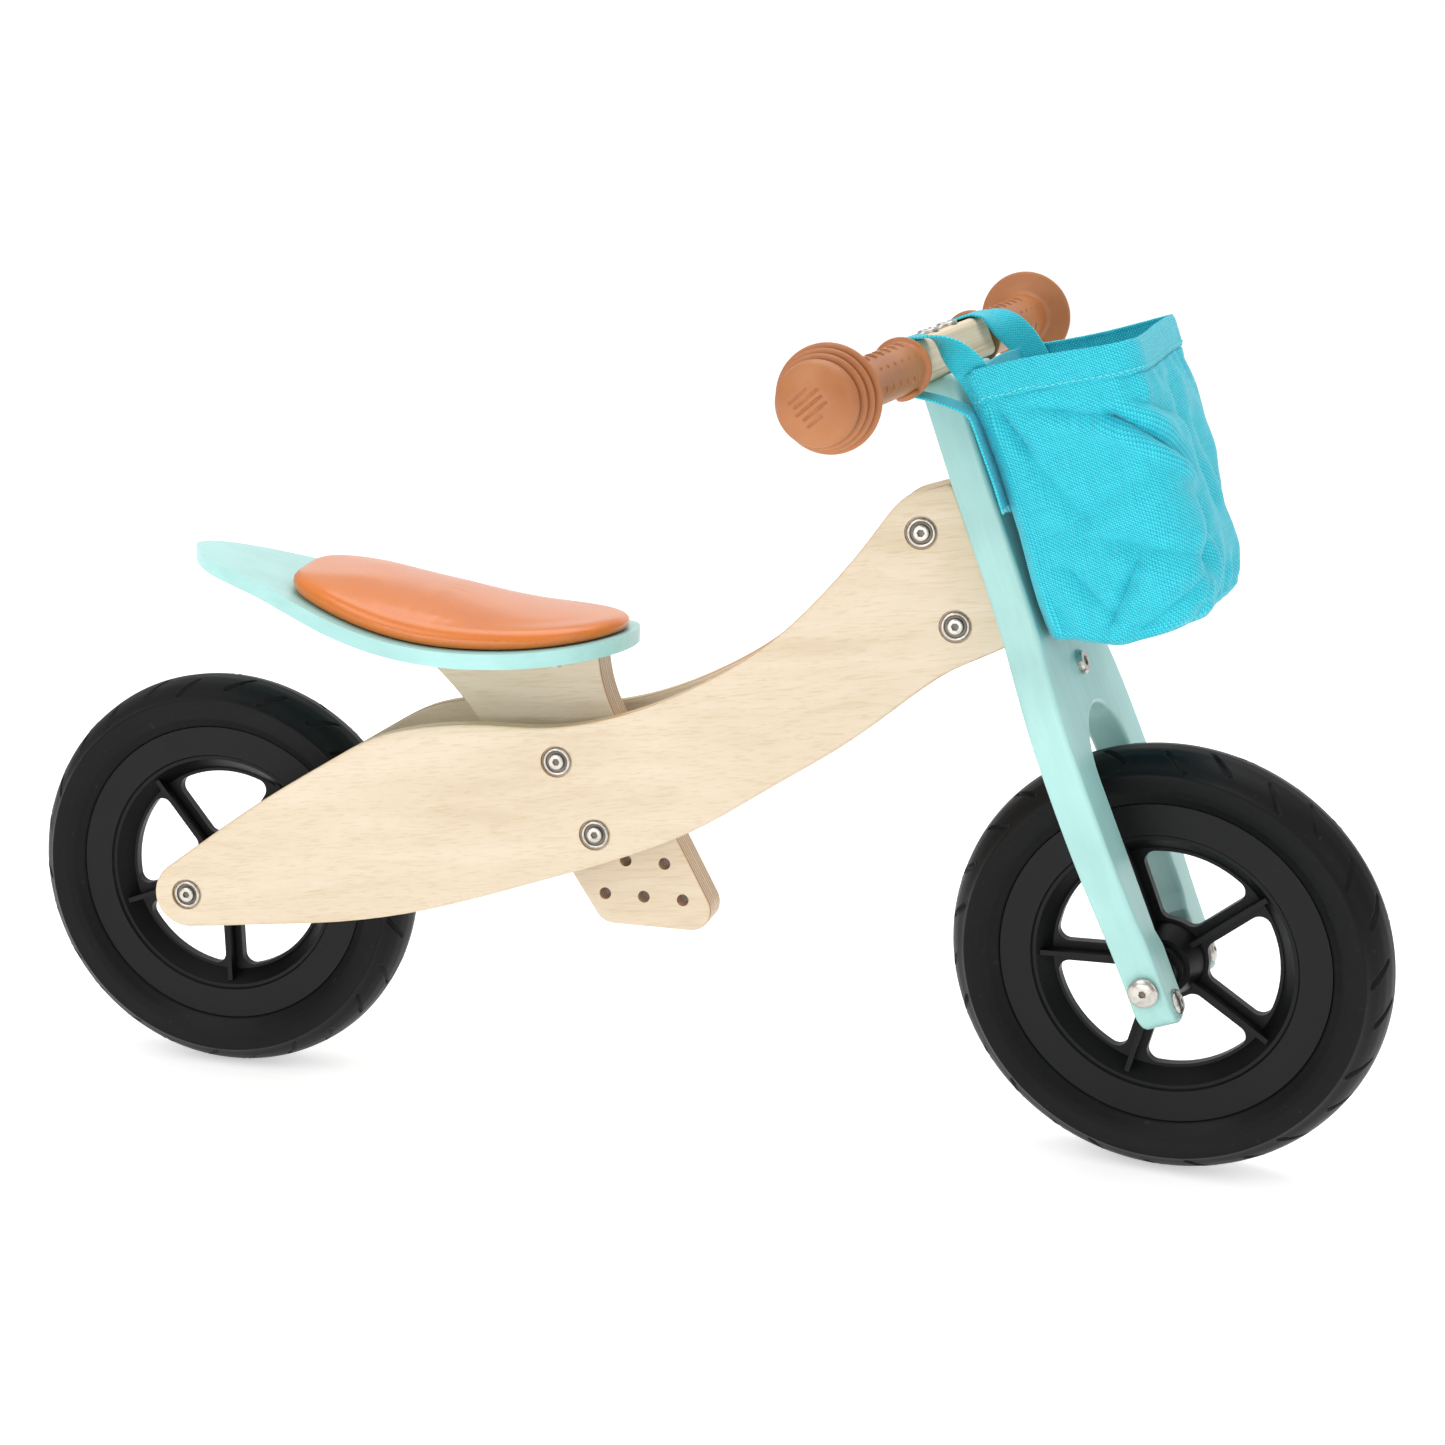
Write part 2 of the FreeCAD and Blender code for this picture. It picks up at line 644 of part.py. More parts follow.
def seat_parts():
    base_side = body("seat_base_side")
    upper = offset_points(SEAT_LOW, size("seat_ply"))
    drawn = sketch(base_side, "base_side", "XZ_Plane", strip_outline(SEAT_LOW, upper))
    pad(base_side, drawn, "200", symmetric=True)
    base_plan = body("seat_base_plan")
    drawn = sketch(base_plan, "base_plan", "XY_Plane", plan_closed(BASE_PLAN), lift=120)
    pad(base_plan, drawn, "120")
    base = document.addObject("Part::Common", "seat_base_blank")
    base.Base = base_side
    base.Tool = base_plan
    pilots = [cylinder("screw_pilot" + name, "Dims.screw_radius", "Dims.screw_length", place)
              for name, place in screw_places(UP)]
    keep(cut("seat_base_cut", base, pilots), "seat_base", AXLE_FRAME)

    post = body("seat_post_body")
    rear_foot = rounded_corner((178, 99), (249.5, -9), (322, -9), 12)
    front_foot = rounded_corner((249.5, -9), (325, -9), (262, 108), 13)
    outline = [
        line(rear_foot[2], front_foot[0]),
        arc(*front_foot),
        line(front_foot[2], (262, 108)),
        curve([(262, 108), (251, 131), (246, 162)], toward((325, -9), (262, 108)), (0, 1)),
        line((246, 162), (118, 162)),
        curve([(118, 162), (141, 143), (160, 124), (178, 99)], (1, -0.7),
              toward((178, 99), (249.5, -9))),
        line((178, 99), rear_foot[0]),
        arc(*rear_foot),
    ]
    drawn = sketch(post, "post_side", "XZ_Plane", outline)
    solid = pad(post, drawn, "Dims.post_ply", symmetric=True)
    half = size("post_ply") / 2
    round_edges(post, solid, "1.6", lambda spot: abs(abs(spot.y) - half) < 0.01 and spot.z < 161)
    above = body("seat_above")
    top_waste = strip_outline(SEAT_LOW, [(x, 230) for x, _ in SEAT_LOW])
    pad(above, sketch(above, "above_side", "XZ_Plane", top_waste), "100", symmetric=True)
    drills = [above]
    for step in range(5):
        for column in (-1, 0, 1):
            start = hole_place(column, step) - Vector(0, 20, 0)
            name = "post_hole%d%d" % (step, column + 1)
            drills.append(cylinder(name, "Dims.post_hole_radius", "40", aim(LEFT, start)))
    keep(cut("seat_post_cut", post, drills), "seat_post", AXLE_FRAME)

    cushion_side = body("cushion_side")
    lower = offset_points([(x, y) for x, y in SEAT_LOW if x > 30], size("seat_ply") + 0.75)
    lower = [(48, lower[0][1] - 1.6)] + lower[1:]
    crown = [(x, y + rise) for (x, y), rise in zip(lower, CUSHION_RISE)]
    drawn = sketch(cushion_side, "cushion_side_view", "XZ_Plane", strip_outline(lower, crown))
    pad(cushion_side, drawn, "200", symmetric=True)
    cushion_plan = body("cushion_plan")
    outline = plan_closed(CUSHION_PLAN)
    drawn = sketch(cushion_plan, "cushion_outline", "XY_Plane", outline, lift=130)
    pad(cushion_plan, drawn, "110")
    cushion = document.addObject("Part::Common", "seat_cushion_blank")
    cushion.Base = cushion_side
    cushion.Tool = cushion_plan
    keep(cushion, "seat_cushion", AXLE_FRAME)

    screws = [bolt("seat_screw" + name, "Dims.screw_radius", "Dims.screw_length", place, head="4.5")
              for name, place in screw_places(-UP)]
    keep(compound("seat_screw_set", screws), "seat_screws", AXLE_FRAME)


# ---------------------------------------------------------------- wheels

def wheel(prefix, where):
    """Rim with five ribbed spokes, tyre and a pair of bearings, turning about Y."""
    seat = size("rim_seat_radius")
    half = size("rim_half")
    hub = size("hub_half")
    bore = size("bearing_radius")
    rim = body(prefix + "_rim_body")
    section = [
        (-hub, bore), (hub, bore), (hub, 13.5), (18, 13.5), (18, 16.5), (3, 22), (3, 65.4),
        (half - 1.5, 73), (half - 1.5, 75), (half, 76), (half, seat),
    ]
    mirrored = [(-w, r) for w, r in reversed(section[2:])]
    drawn = sketch(rim, prefix + "_rim_section", "YZ_Plane", polygon(section + mirrored))
    revolve(rim, drawn)
    near_hub = 24.0
    near_rim = 63.5
    spoke_half = size("spoke_wide") / 2
    pitch = math.radians(72)
    corners = []
    for radius in (near_hub, near_rim):
        swing = math.asin(spoke_half / radius)
        for angle in (swing, pitch / 2, pitch - swing):
            corners.append((radius * math.cos(angle), radius * math.sin(angle)))
    window = [
        arc(corners[0], corners[1], corners[2]),
        line(corners[2], corners[5]),
        arc(corners[5], corners[4], corners[3]),
        line(corners[3], corners[0]),
    ]
    opening = cut_through(rim, sketch(rim, prefix + "_window", "XZ_Plane", window))
    windows = rim.newObject("PartDesign::PolarPattern", prefix + "_windows")
    windows.Originals = [opening]
    windows.Axis = (next(a for a in rim.Origin.OriginFeatures if a.Role == "Y_Axis"), [""])
    windows.Angle = 360
    windows.Occurrences = 5
    rim.Tip = windows
    document.recompute()

    def window_corner(spot):
        radius = math.hypot(spot.x, spot.z)
        return abs(spot.y) <= 3.01 and near_hub - 0.5 < radius < near_rim + 0.5

    def upright(names):
        """Only the edges that run straight across the web, at the four window corners."""
        kept = []
        for name in names:
            edge = windows.Shape.Edges[int(name[4:]) - 1]
            first, last = edge.Vertexes[0].Point, edge.Vertexes[-1].Point
            if math.hypot(first.x - last.x, first.z - last.z) < 0.01 and edge.Length > 4:
                kept.append(name)
        return kept

    softened = rim.newObject("PartDesign::Fillet", prefix + "_window_corners")
    softened.Base = (windows, upright(edges_where(windows.Shape, window_corner)))
    softened.setExpression("Radius", "Dims.window_corner")
    document.recompute()
    rib_half = size("spoke_rib") / 2
    ribs = []
    for number in range(5):
        corner = Vector(19, -11, -rib_half)
        rib = box("%s_rib%d" % (prefix, number), "52", "22", "Dims.spoke_rib", corner)
        spin = Rotation(LEFT, -72 * number)
        rib.Placement = Placement(Vector(0, 0, 0), spin).multiply(rib.Placement)
        ribs.append(rib)
    turned = Placement(Vector(0, 0, 0), Rotation(LEFT, -size(prefix + "_spoke_turn")))
    keep(fuse(prefix + "_rim_whole", [rim] + ribs), prefix + "_rim", where.multiply(turned))

    tyre = body(prefix + "_tyre_body")
    crown = size("wheel_radius")
    bead = [(-half, seat), (half, seat)]
    wall = [(half, seat), (20.5, 97.5), (23, 104.5), (22, 112.7)]
    tread = [(22, 112.7), (13, 121.8), (0, crown), (-13, 121.8), (-22, 112.7)]
    outline = [
        line(*bead),
        curve(wall),
        curve(tread),
        curve([(-w, r) for w, r in reversed(wall)]),
    ]
    revolve(tyre, sketch(tyre, prefix + "_tyre_section", "YZ_Plane", outline))
    keep(tyre, prefix + "_tyre", where)

    bearings = []
    start = hub - size("bearing_depth")
    for side in (-1, 1):
        place = aim(LEFT * side, Vector(0, side * start, 0))
        name = "%s_bearing%d" % (prefix, side + 1)
        gap = "Dims.axle_radius + Dims.running_gap"
        bearings.append(ring(name, "Dims.bearing_radius", gap, "Dims.bearing_depth", place))
    keep(compound(prefix + "_bearing_set", bearings), prefix + "_bearings", where)


# ---------------------------------------------------------------- fork and steering

FORK_SIDE = [(38, 340), (44, 290), (53, 205), (64.5, 158), (67.5, 123), (67, 78), (61.5, 33),
             (59, 0)]
FORK_CORNER = (36.6, 353)
YOKE_BOLT_HEIGHTS = (176.0, 313.0)
TIP_BOLT_ASIDE = 44.5
TIP_BOLT_HEIGHT = -14.0
BAR_BOLT_ASIDE = 17.5
BAR_BOLT_AHEAD = -3.0
BAR_BOLT_GRIP = 26.0


def fork():
    board = body("fork_body")
    inner = size("leg_half")
    outer = size("leg_outer")
    slot = size("slot_half")
    centre = size("slot_centre")
    end_round = (outer - inner) / 2
    end_z = -25 + end_round
    step = ((inner, 17), (slot, 27))
    shoulder = rounded_corner((0, FORK_CORNER[1]), FORK_CORNER, FORK_SIDE[0], 5)
    slope = toward(FORK_CORNER, FORK_SIDE[0])
    outline = [line((-shoulder[0][0], shoulder[0][1]), shoulder[0])]
    for way in (1, -1):
        def flip(point):
            return (way * point[0], point[1])

        outline += [
            arc(*[flip(point) for point in shoulder]),
            line(flip(shoulder[2]), flip(FORK_SIDE[0])),
            curve([flip(point) for point in FORK_SIDE], flip(slope), (0, -1)),
            line(flip((outer, 0)), flip((outer, end_z))),
            arc(flip((outer, end_z)), flip((inner + end_round, -25)), flip((inner, end_z))),
            line(flip((inner, end_z)), flip(step[0])),
            line(flip(step[0]), flip(step[1])),
            line(flip(step[1]), flip((slot, centre))),
        ]
    outline.append(arc((slot, centre), (0, centre + slot), (-slot, centre)))
    solid = pad(board, sketch(board, "fork_front", "YZ_Plane", outline), "Dims.board_ply",
                symmetric=True)
    face = size("board_ply") / 2
    round_edges(board, solid, "Dims.board_edge", lambda spot: abs(abs(spot.x) - face) < 0.01)
    drills = [cylinder("fork_axle_bore", "Dims.axle_radius", "200", aim(LEFT, Vector(0, -100, 0)))]
    for number, height in enumerate(YOKE_BOLT_HEIGHTS):
        place = aim(FORWARD, Vector(-20, 0, height))
        drills.append(cylinder("fork_yoke_bore%d" % number, "Dims.small_bolt_radius", "40", place))
    for side in (-1, 1):
        place = aim(FORWARD, Vector(-20, side * TIP_BOLT_ASIDE, TIP_BOLT_HEIGHT))
        name = "fork_tip_bore%d" % (side + 1)
        drills.append(cylinder(name, "Dims.small_bolt_radius", "40", place))
        foot = size("fork_top") - BAR_BOLT_GRIP
        place = aim(UP, Vector(BAR_BOLT_AHEAD, side * BAR_BOLT_ASIDE, foot))
        name = "fork_bar_bore%d" % (side + 1)
        drills.append(cylinder(name, "Dims.small_bolt_radius", "60", place))
    keep(cut("fork_cut", board, drills), "fork", STEERED_FRAME)


def yoke(label, arm_low, plate_low, plate_high, bolt_height):
    """A steel bracket: an eye on the steering pin, an arm and a plate on the fork board."""
    back = -size("board_ply") / 2
    eye = cylinder(label + "_eye", "Dims.block_half - 0.5", "Dims.yoke_plate",
                   aim(UP, Vector(PIN_X, 0, arm_low)))
    arm = box(label + "_arm", "%.4f" % (back - PIN_X), "12", "Dims.yoke_plate",
              Vector(PIN_X, -6, arm_low))
    plate = box(label + "_plate", "Dims.yoke_back", "20", "%.4f" % (plate_high - plate_low),
                Vector(back - size("yoke_back"), -10, plate_low))
    pin_hole = cylinder(label + "_pin_hole", "Dims.axle_radius", "20",
                        aim(UP, Vector(PIN_X, 0, arm_low - 5)))
    bolt_hole = cylinder(label + "_bolt_hole", "Dims.small_bolt_radius", "20",
                         aim(FORWARD, Vector(back - 10, 0, bolt_height)))
    blank = fuse(label + "_blank", [eye, arm, plate])
    keep(cut(label + "_cut", blank, [pin_hole, bolt_hole]), label, STEERED_FRAME)


def steering():
    low = size("block_low")
    high = size("block_high")
    plate = size("yoke_plate")
    yoke("lower_yoke", low - 1 - plate, 164, low - 1, YOKE_BOLT_HEIGHTS[0])
    yoke("upper_yoke", high + 1, high + 1, 325, YOKE_BOLT_HEIGHTS[1])
    top = high + 1 + plate
    bottom = low - 1 - plate
    pin = bolt("pin_blank", "Dims.axle_radius", "%.4f" % (top - bottom + 7), Placement(),
               head="6.5")
    keep(pin, "steering_pin", STEERED_FRAME.multiply(aim(UP, Vector(PIN_X, 0, top))))
    nut = hexagon_nut("pin_nut_blank", "7", "Dims.axle_radius", "6", Placement())
    keep(nut, "steering_pin_nut", STEERED_FRAME.multiply(aim(UP, Vector(PIN_X, 0, bottom - 6))))
    front = size("board_ply") / 2
    rear = -front - size("yoke_back")
    bolts = []
    nuts = []
    for number, height in enumerate(YOKE_BOLT_HEIGHTS):
        place = aim(FORWARD, Vector(front, 0, height))
        length = "Dims.board_ply + Dims.yoke_back + 5"
        bolts.append(bolt("yoke_bolt%d" % number, "Dims.small_bolt_radius", length, place,
                          head="7"))
        place = aim(FORWARD, Vector(rear - 4, 0, height))
        nuts.append(hexagon_nut("yoke_nut%d" % number, "5.5", "Dims.small_bolt_radius", "4", place))
    keep(compound("yoke_bolt_set", bolts), "yoke_bolts", STEERED_FRAME)
    keep(compound("yoke_nut_set", nuts), "yoke_nuts", STEERED_FRAME)
    tips = []
    for side in (-1, 1):
        place = aim(FORWARD, Vector(front, side * TIP_BOLT_ASIDE, TIP_BOLT_HEIGHT))
        tips.append(bolt("tip_bolt%d" % (side + 1), "Dims.small_bolt_radius", "Dims.board_ply",
                         place, head="7"))
    keep(compound("tip_bolt_set", tips), "fork_tip_bolts", STEERED_FRAME)


# ---------------------------------------------------------------- handlebar and grips

BAR_HEIGHT = size("fork_top") + size("bar_side") / 2
GRIP_SECTION = [
    (64.3, 10.5), (64.3, 17), (67, 17), (68.5, 13.75), (178.5, 13.75), (180.5, 27), (181.5, 28),
    (183.5, 28), (184.5, 24.5), (186, 24), (187, 26), (189.3, 26), (190.2, 22.8), (191.5, 22.2),
    (192.4, 24), (194.5, 24), (195.3, 21), (196.8, 20.4), (197.8, 21.6), (200.6, 21.3),
    (204, 19.3), (207, 15), (209.3, 8), (210, 0), (200.3, 0), (200.3, 10.5),
]


def handlebar():
    bar = body("handlebar_body")
    half = size("bar_side") / 2
    square = rounded_rectangle((-half, -half), (half, half), 4)
    pad(bar, sketch(bar, "bar_square", "XZ_Plane", square), "2 * Dims.bar_square_half",
        symmetric=True)
    turned = [Part.Circle(Vector(0, 0, 0), UP, size("bar_end_radius"))]
    pad(bar, sketch(bar, "bar_round", "XZ_Plane", turned), "2 * Dims.bar_half", symmetric=True)
    centre = Placement(Vector(-size("bar_back"), 0, BAR_HEIGHT), Rotation())
    drills = []
    bolts = []
    for side in (-1, 1):
        spot = Vector(BAR_BOLT_AHEAD, side * BAR_BOLT_ASIDE, BAR_HEIGHT + half)
        local = centre.inverse().multVec(spot)
        place = aim(UP, local - Vector(0, 0, 30))
        name = "bar_bore%d" % (side + 1)
        drills.append(cylinder(name, "Dims.small_bolt_radius", "40", place))
        name = "bar_bolt%d" % (side + 1)
        length = "Dims.bar_side + %.4f" % BAR_BOLT_GRIP
        bolts.append(bolt(name, "Dims.small_bolt_radius", length, aim(UP, spot)))
    keep(cut("handlebar_cut", bar, drills), "handlebar", STEERED_FRAME.multiply(centre))
    keep(compound("bar_bolt_set", bolts), "handlebar_bolts", STEERED_FRAME)
    for label, side in (("right_grip", -1), ("left_grip", 1)):
        grip = body(label + "_body")
        section = [(side * along, radius) for along, radius in GRIP_SECTION]
        revolve(grip, sketch(grip, label + "_section", "YZ_Plane", polygon(section)))
        keep(grip, label, STEERED_FRAME.multiply(centre))


# ---------------------------------------------------------------- handlebar bag

BAG_BACK = 14.2
BAG_LEVELS = [
    (181.0, 86.0, 42.0, 12.0),
    (184.5, 94.0, 49.0, 14.0),
    (193.0, 99.5, 53.5, 14.0),
    (215.0, 104.5, 56.0, 14.0),
    (355.0, 114.0, 57.5, 12.0),
]
BAG_RIM_BACK = 351.0
BAG_RIM_FRONT = 338.0


def bag_section(level, inset):
    """Rounded plan shape of the bag at one level, pushed in by an inset."""
    height, front, half, corner = level
    low = (BAG_BACK + inset, inset - half)
    high = (front - inset, half - inset)
    return rounded_rectangle(low, high, corner - inset)


def bag():
    """An open fabric box: a tapering skin, a hollow inside it and a slanting rim."""
    sack = body("bag_body")
    wall = size("bag_wall")
    outer = []
    inner = []
    for number, level in enumerate(BAG_LEVELS):
        shape = bag_section(level, 0)
        outer.append(sketch(sack, "bag_outer%d" % number, "XY_Plane", shape, lift=level[0]))
    skin = sack.newObject("PartDesign::AdditiveLoft", "bag_skin")
    skin.Profile = outer[0]
    skin.Sections = outer[1:]
    skin.Ruled = True
    document.recompute()
    for number, level in enumerate(BAG_LEVELS):
        shape = bag_section(level, wall)
        lift = level[0] + wall
        inner.append(sketch(sack, "bag_inner%d" % number, "XY_Plane", shape, lift=lift))
    hollow = sack.newObject("PartDesign::SubtractiveLoft", "bag_hollow")
    hollow.Profile = inner[0]
    hollow.Sections = inner[1:]
    hollow.Ruled = True
    slant = [
        (0, BAG_RIM_BACK), (BAG_BACK, BAG_RIM_BACK), (114, BAG_RIM_FRONT),
        (140, BAG_RIM_FRONT), (140, 400), (0, 400),
    ]
    cut_through(sack, sketch(sack, "bag_rim", "XZ_Plane", polygon(slant)))
    keep(sack, "bag", STEERED_FRAME)


def bag_strap(label, side):
    """A webbing loop round the handlebar with a tail down the back of the bag."""
    strap = body(label + "_body")
    thick = size("strap_thick")
    half = size("bar_side") / 2 + 0.3
    centre = -size("bar_back")
    outer = rounded_rectangle((centre - half - thick, BAR_HEIGHT - half - thick),
                              (centre + half + thick, BAR_HEIGHT + half + thick), 5)
    inner = rounded_rectangle((centre - half, BAR_HEIGHT - half),
                              (centre + half, BAR_HEIGHT + half), 3)
    pad(strap, sketch(strap, label + "_loop", "XZ_Plane", outer), "Dims.strap_wide",
        symmetric=True)
    low = BAR_HEIGHT - half - thick
    tail = [(centre + half, low + 10), (centre + half + thick, low + 10), (13.8, low + 1),
            (13.8, 275), (11.8, 275), (11.8, low - 1)]
    pad(strap, sketch(strap, label + "_tail", "XZ_Plane", polygon(tail)), "Dims.strap_wide",
        symmetric=True)
    cut_through(strap, sketch(strap, label + "_hole", "XZ_Plane", inner))
    shift = Placement(Vector(0, side * size("strap_centre"), 0), Rotation())
    keep(strap, label, STEERED_FRAME.multiply(shift))


# ---------------------------------------------------------------- the whole bike

frame_panel("frame_panel_right", -1)
frame_panel("frame_panel_left", 1)
head_block()
paired_bolts("head_bolts", HEAD_BOLTS, -1, "Dims.bolt_radius", "-4")
paired_bolts("head_nuts", HEAD_BOLTS, 1, "Dims.bolt_radius", "4")
seat_hardware()
axle_set("rear", "Dims.spacer_radius", panel_inner(size("spacer_radius")), AXLE_FRAME,
         panel_outer(0) - size("spot_sink"))
wheel("rear", AXLE_FRAME)
seat_parts()
fork()
steering()
axle_set("front", "Dims.bearing_radius", size("leg_half"), STEERED_FRAME, size("leg_outer") + 2)
wheel("front", STEERED_FRAME)
handlebar()
bag()
bag_strap("bag_strap_right", -1)
bag_strap("bag_strap_left", 1)
document.recompute()

# ---------------------------------------------------------------- checks and export

for thing in document.Objects:
    if "Invalid" in thing.State or "Error" in thing.State:
        raise RuntimeError("%s failed: %s" % (thing.Name, thing.State))
for thing in nodes:
    if thing.Shape.isNull() or not thing.Shape.isValid():
        raise RuntimeError("%s has no valid shape" % thing.Label)

os.makedirs("parts", exist_ok=True)
for thing in nodes:
    thing.Shape.exportStep("parts/%s.step" % thing.Label)
    solids = thing.Shape.Solids
    volume = sum(solid.Volume for solid in solids)
    print("%-22s solids %2d  volume %9.0f" % (thing.Label, len(solids), volume))
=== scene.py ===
import json
import math

import bpy
import numpy as np
from mathutils import Matrix, Vector, geometry, noise
from mathutils.bvhtree import BVHTree


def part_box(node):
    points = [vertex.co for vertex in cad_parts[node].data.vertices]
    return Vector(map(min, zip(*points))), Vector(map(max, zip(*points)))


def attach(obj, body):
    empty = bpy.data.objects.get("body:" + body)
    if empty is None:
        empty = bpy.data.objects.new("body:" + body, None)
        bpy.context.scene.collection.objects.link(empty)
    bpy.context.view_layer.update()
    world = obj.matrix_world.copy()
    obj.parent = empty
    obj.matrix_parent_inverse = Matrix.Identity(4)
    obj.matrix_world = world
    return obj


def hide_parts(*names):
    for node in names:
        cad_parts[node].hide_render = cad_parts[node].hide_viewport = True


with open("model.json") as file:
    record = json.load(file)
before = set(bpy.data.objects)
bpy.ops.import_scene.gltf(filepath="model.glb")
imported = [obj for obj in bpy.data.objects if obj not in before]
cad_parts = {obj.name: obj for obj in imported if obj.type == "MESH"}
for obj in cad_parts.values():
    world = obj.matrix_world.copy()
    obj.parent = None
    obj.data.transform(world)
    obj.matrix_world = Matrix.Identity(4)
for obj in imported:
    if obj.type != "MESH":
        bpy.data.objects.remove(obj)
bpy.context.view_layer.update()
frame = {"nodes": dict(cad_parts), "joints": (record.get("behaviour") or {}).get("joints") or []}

nodes = frame["nodes"]
joints = {joint["name"]: joint for joint in frame["joints"]}
MM = 0.001

# The steered frame: front axle at the origin, X forwards, Y left, Z along the steering pin.
STEER_SIDE = Vector(joints["front_wheel_spin"]["axis"])
STEER_UP = Vector(joints["steering_turn"]["axis"])
STEER_AHEAD = STEER_SIDE.cross(STEER_UP)
FRONT_AXLE = Vector(joints["front_wheel_spin"]["pos_m"])
REAR_AXLE = Vector(joints["rear_wheel_spin"]["pos_m"])


def frame_matrix(ahead, side, up, origin):
    columns = Matrix((ahead, side, up)).transposed().to_4x4()
    columns.translation = origin
    return columns


STEERED = frame_matrix(STEER_AHEAD, STEER_SIDE, STEER_UP, FRONT_AXLE)
AXLE = Matrix.Translation(REAR_AXLE)
BAR_CENTRE = Vector((-6.0, 0.0, 365.0))


# ---- mesh helpers

def placed(name, points, faces, matrix, material, body, slot, uv=None):
    """A mesh from millimetre points in a working frame, riding on a body."""
    rotation = np.array(matrix.to_3x3())
    world = np.asarray(points, float) * MM @ rotation.T + np.array(matrix.translation)
    mesh = bpy.data.meshes.new(name)
    mesh.from_pydata(world.tolist(), [], faces)
    if uv is not None:
        layer = mesh.uv_layers.new(name="cloth")
        layer.data.foreach_set("uv", np.asarray(uv, np.float32).ravel())
    mesh.polygons.foreach_set("use_smooth", [True] * len(mesh.polygons))
    mesh.materials.append(material)
    thing = bpy.data.objects.new(name, mesh)
    bpy.context.scene.collection.objects.link(thing)
    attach(thing, body)
    return thing


def grid_faces(rows, columns, wrap, start=0):
    """Quads over a grid of points stored row by row."""
    faces = []
    last = columns if wrap else columns - 1
    for row in range(rows - 1):
        for column in range(last):
            beside = (column + 1) % columns
            a = start + row * columns
            b = a + columns
            faces.append((a + column, a + beside, b + beside, b + column))
    return faces


def grid_uv(u, v):
    """One UV pair per face corner. The arrays repeat the first column when the grid wraps."""
    rows, columns = u.shape
    pairs = []
    for row in range(rows - 1):
        for column in range(columns - 1):
            for i, j in ((0, 0), (0, 1), (1, 1), (1, 0)):
                corner = (row + i, column + j)
                pairs.append((u[corner], v[corner]))
    return pairs


def modifier(thing, kind, **settings):
    added = thing.modifiers.new(kind.title(), kind)
    for name, value in settings.items():
        setattr(added, name, value)
    return added


def apply_modifiers(thing):
    """Turns what the modifiers make into the object's own mesh."""
    graph = bpy.context.evaluated_depsgraph_get()
    made = bpy.data.meshes.new_from_object(thing.evaluated_get(graph))
    thing.modifiers.clear()
    thing.data = made


def smooth_step(low, high, value):
    share = np.clip((value - low) / (high - low), 0, 1)
    return share * share * (3 - 2 * share)


def distances(path):
    """How far along a polyline each of its points is."""
    return np.concatenate([[0], np.cumsum(np.linalg.norm(np.diff(path, axis=0), axis=1))])


def points_at(places, lengths, path):
    """The points at some distances along a polyline."""
    return np.stack([np.interp(places, lengths, column) for column in path.T], -1)


def joined(parts):
    """One list of points and faces from several."""
    points = []
    faces = []
    for some_points, some_faces in parts:
        start = len(points)
        points.extend([tuple(point) for point in some_points])
        faces.extend([tuple(index + start for index in face) for face in some_faces])
    return points, faces


def bead(centre, axes, radii, rings=6, sides=10):
    """A small rounded ellipsoid: centre, three unit axes and their radii."""
    centre = Vector(centre)
    one, two, up = [Vector(axis) * radius for axis, radius in zip(axes, radii)]
    points = [centre + up]
    for ring in range(1, rings):
        tilt = math.pi * ring / rings
        for side in range(sides):
            turn = 2 * math.pi * side / sides
            spot = centre + one * math.sin(tilt) * math.cos(turn)
            spot = spot + two * math.sin(tilt) * math.sin(turn) + up * math.cos(tilt)
            points.append(spot)
    points.append(centre - up)
    faces = [(0, 1 + side, 1 + (side + 1) % sides) for side in range(sides)]
    faces += grid_faces(rings - 1, sides, True, 1)
    end = len(points) - 1
    base = end - sides
    faces += [(end, base + (side + 1) % sides, base + side) for side in range(sides)]
    return points, faces


# ---- materials

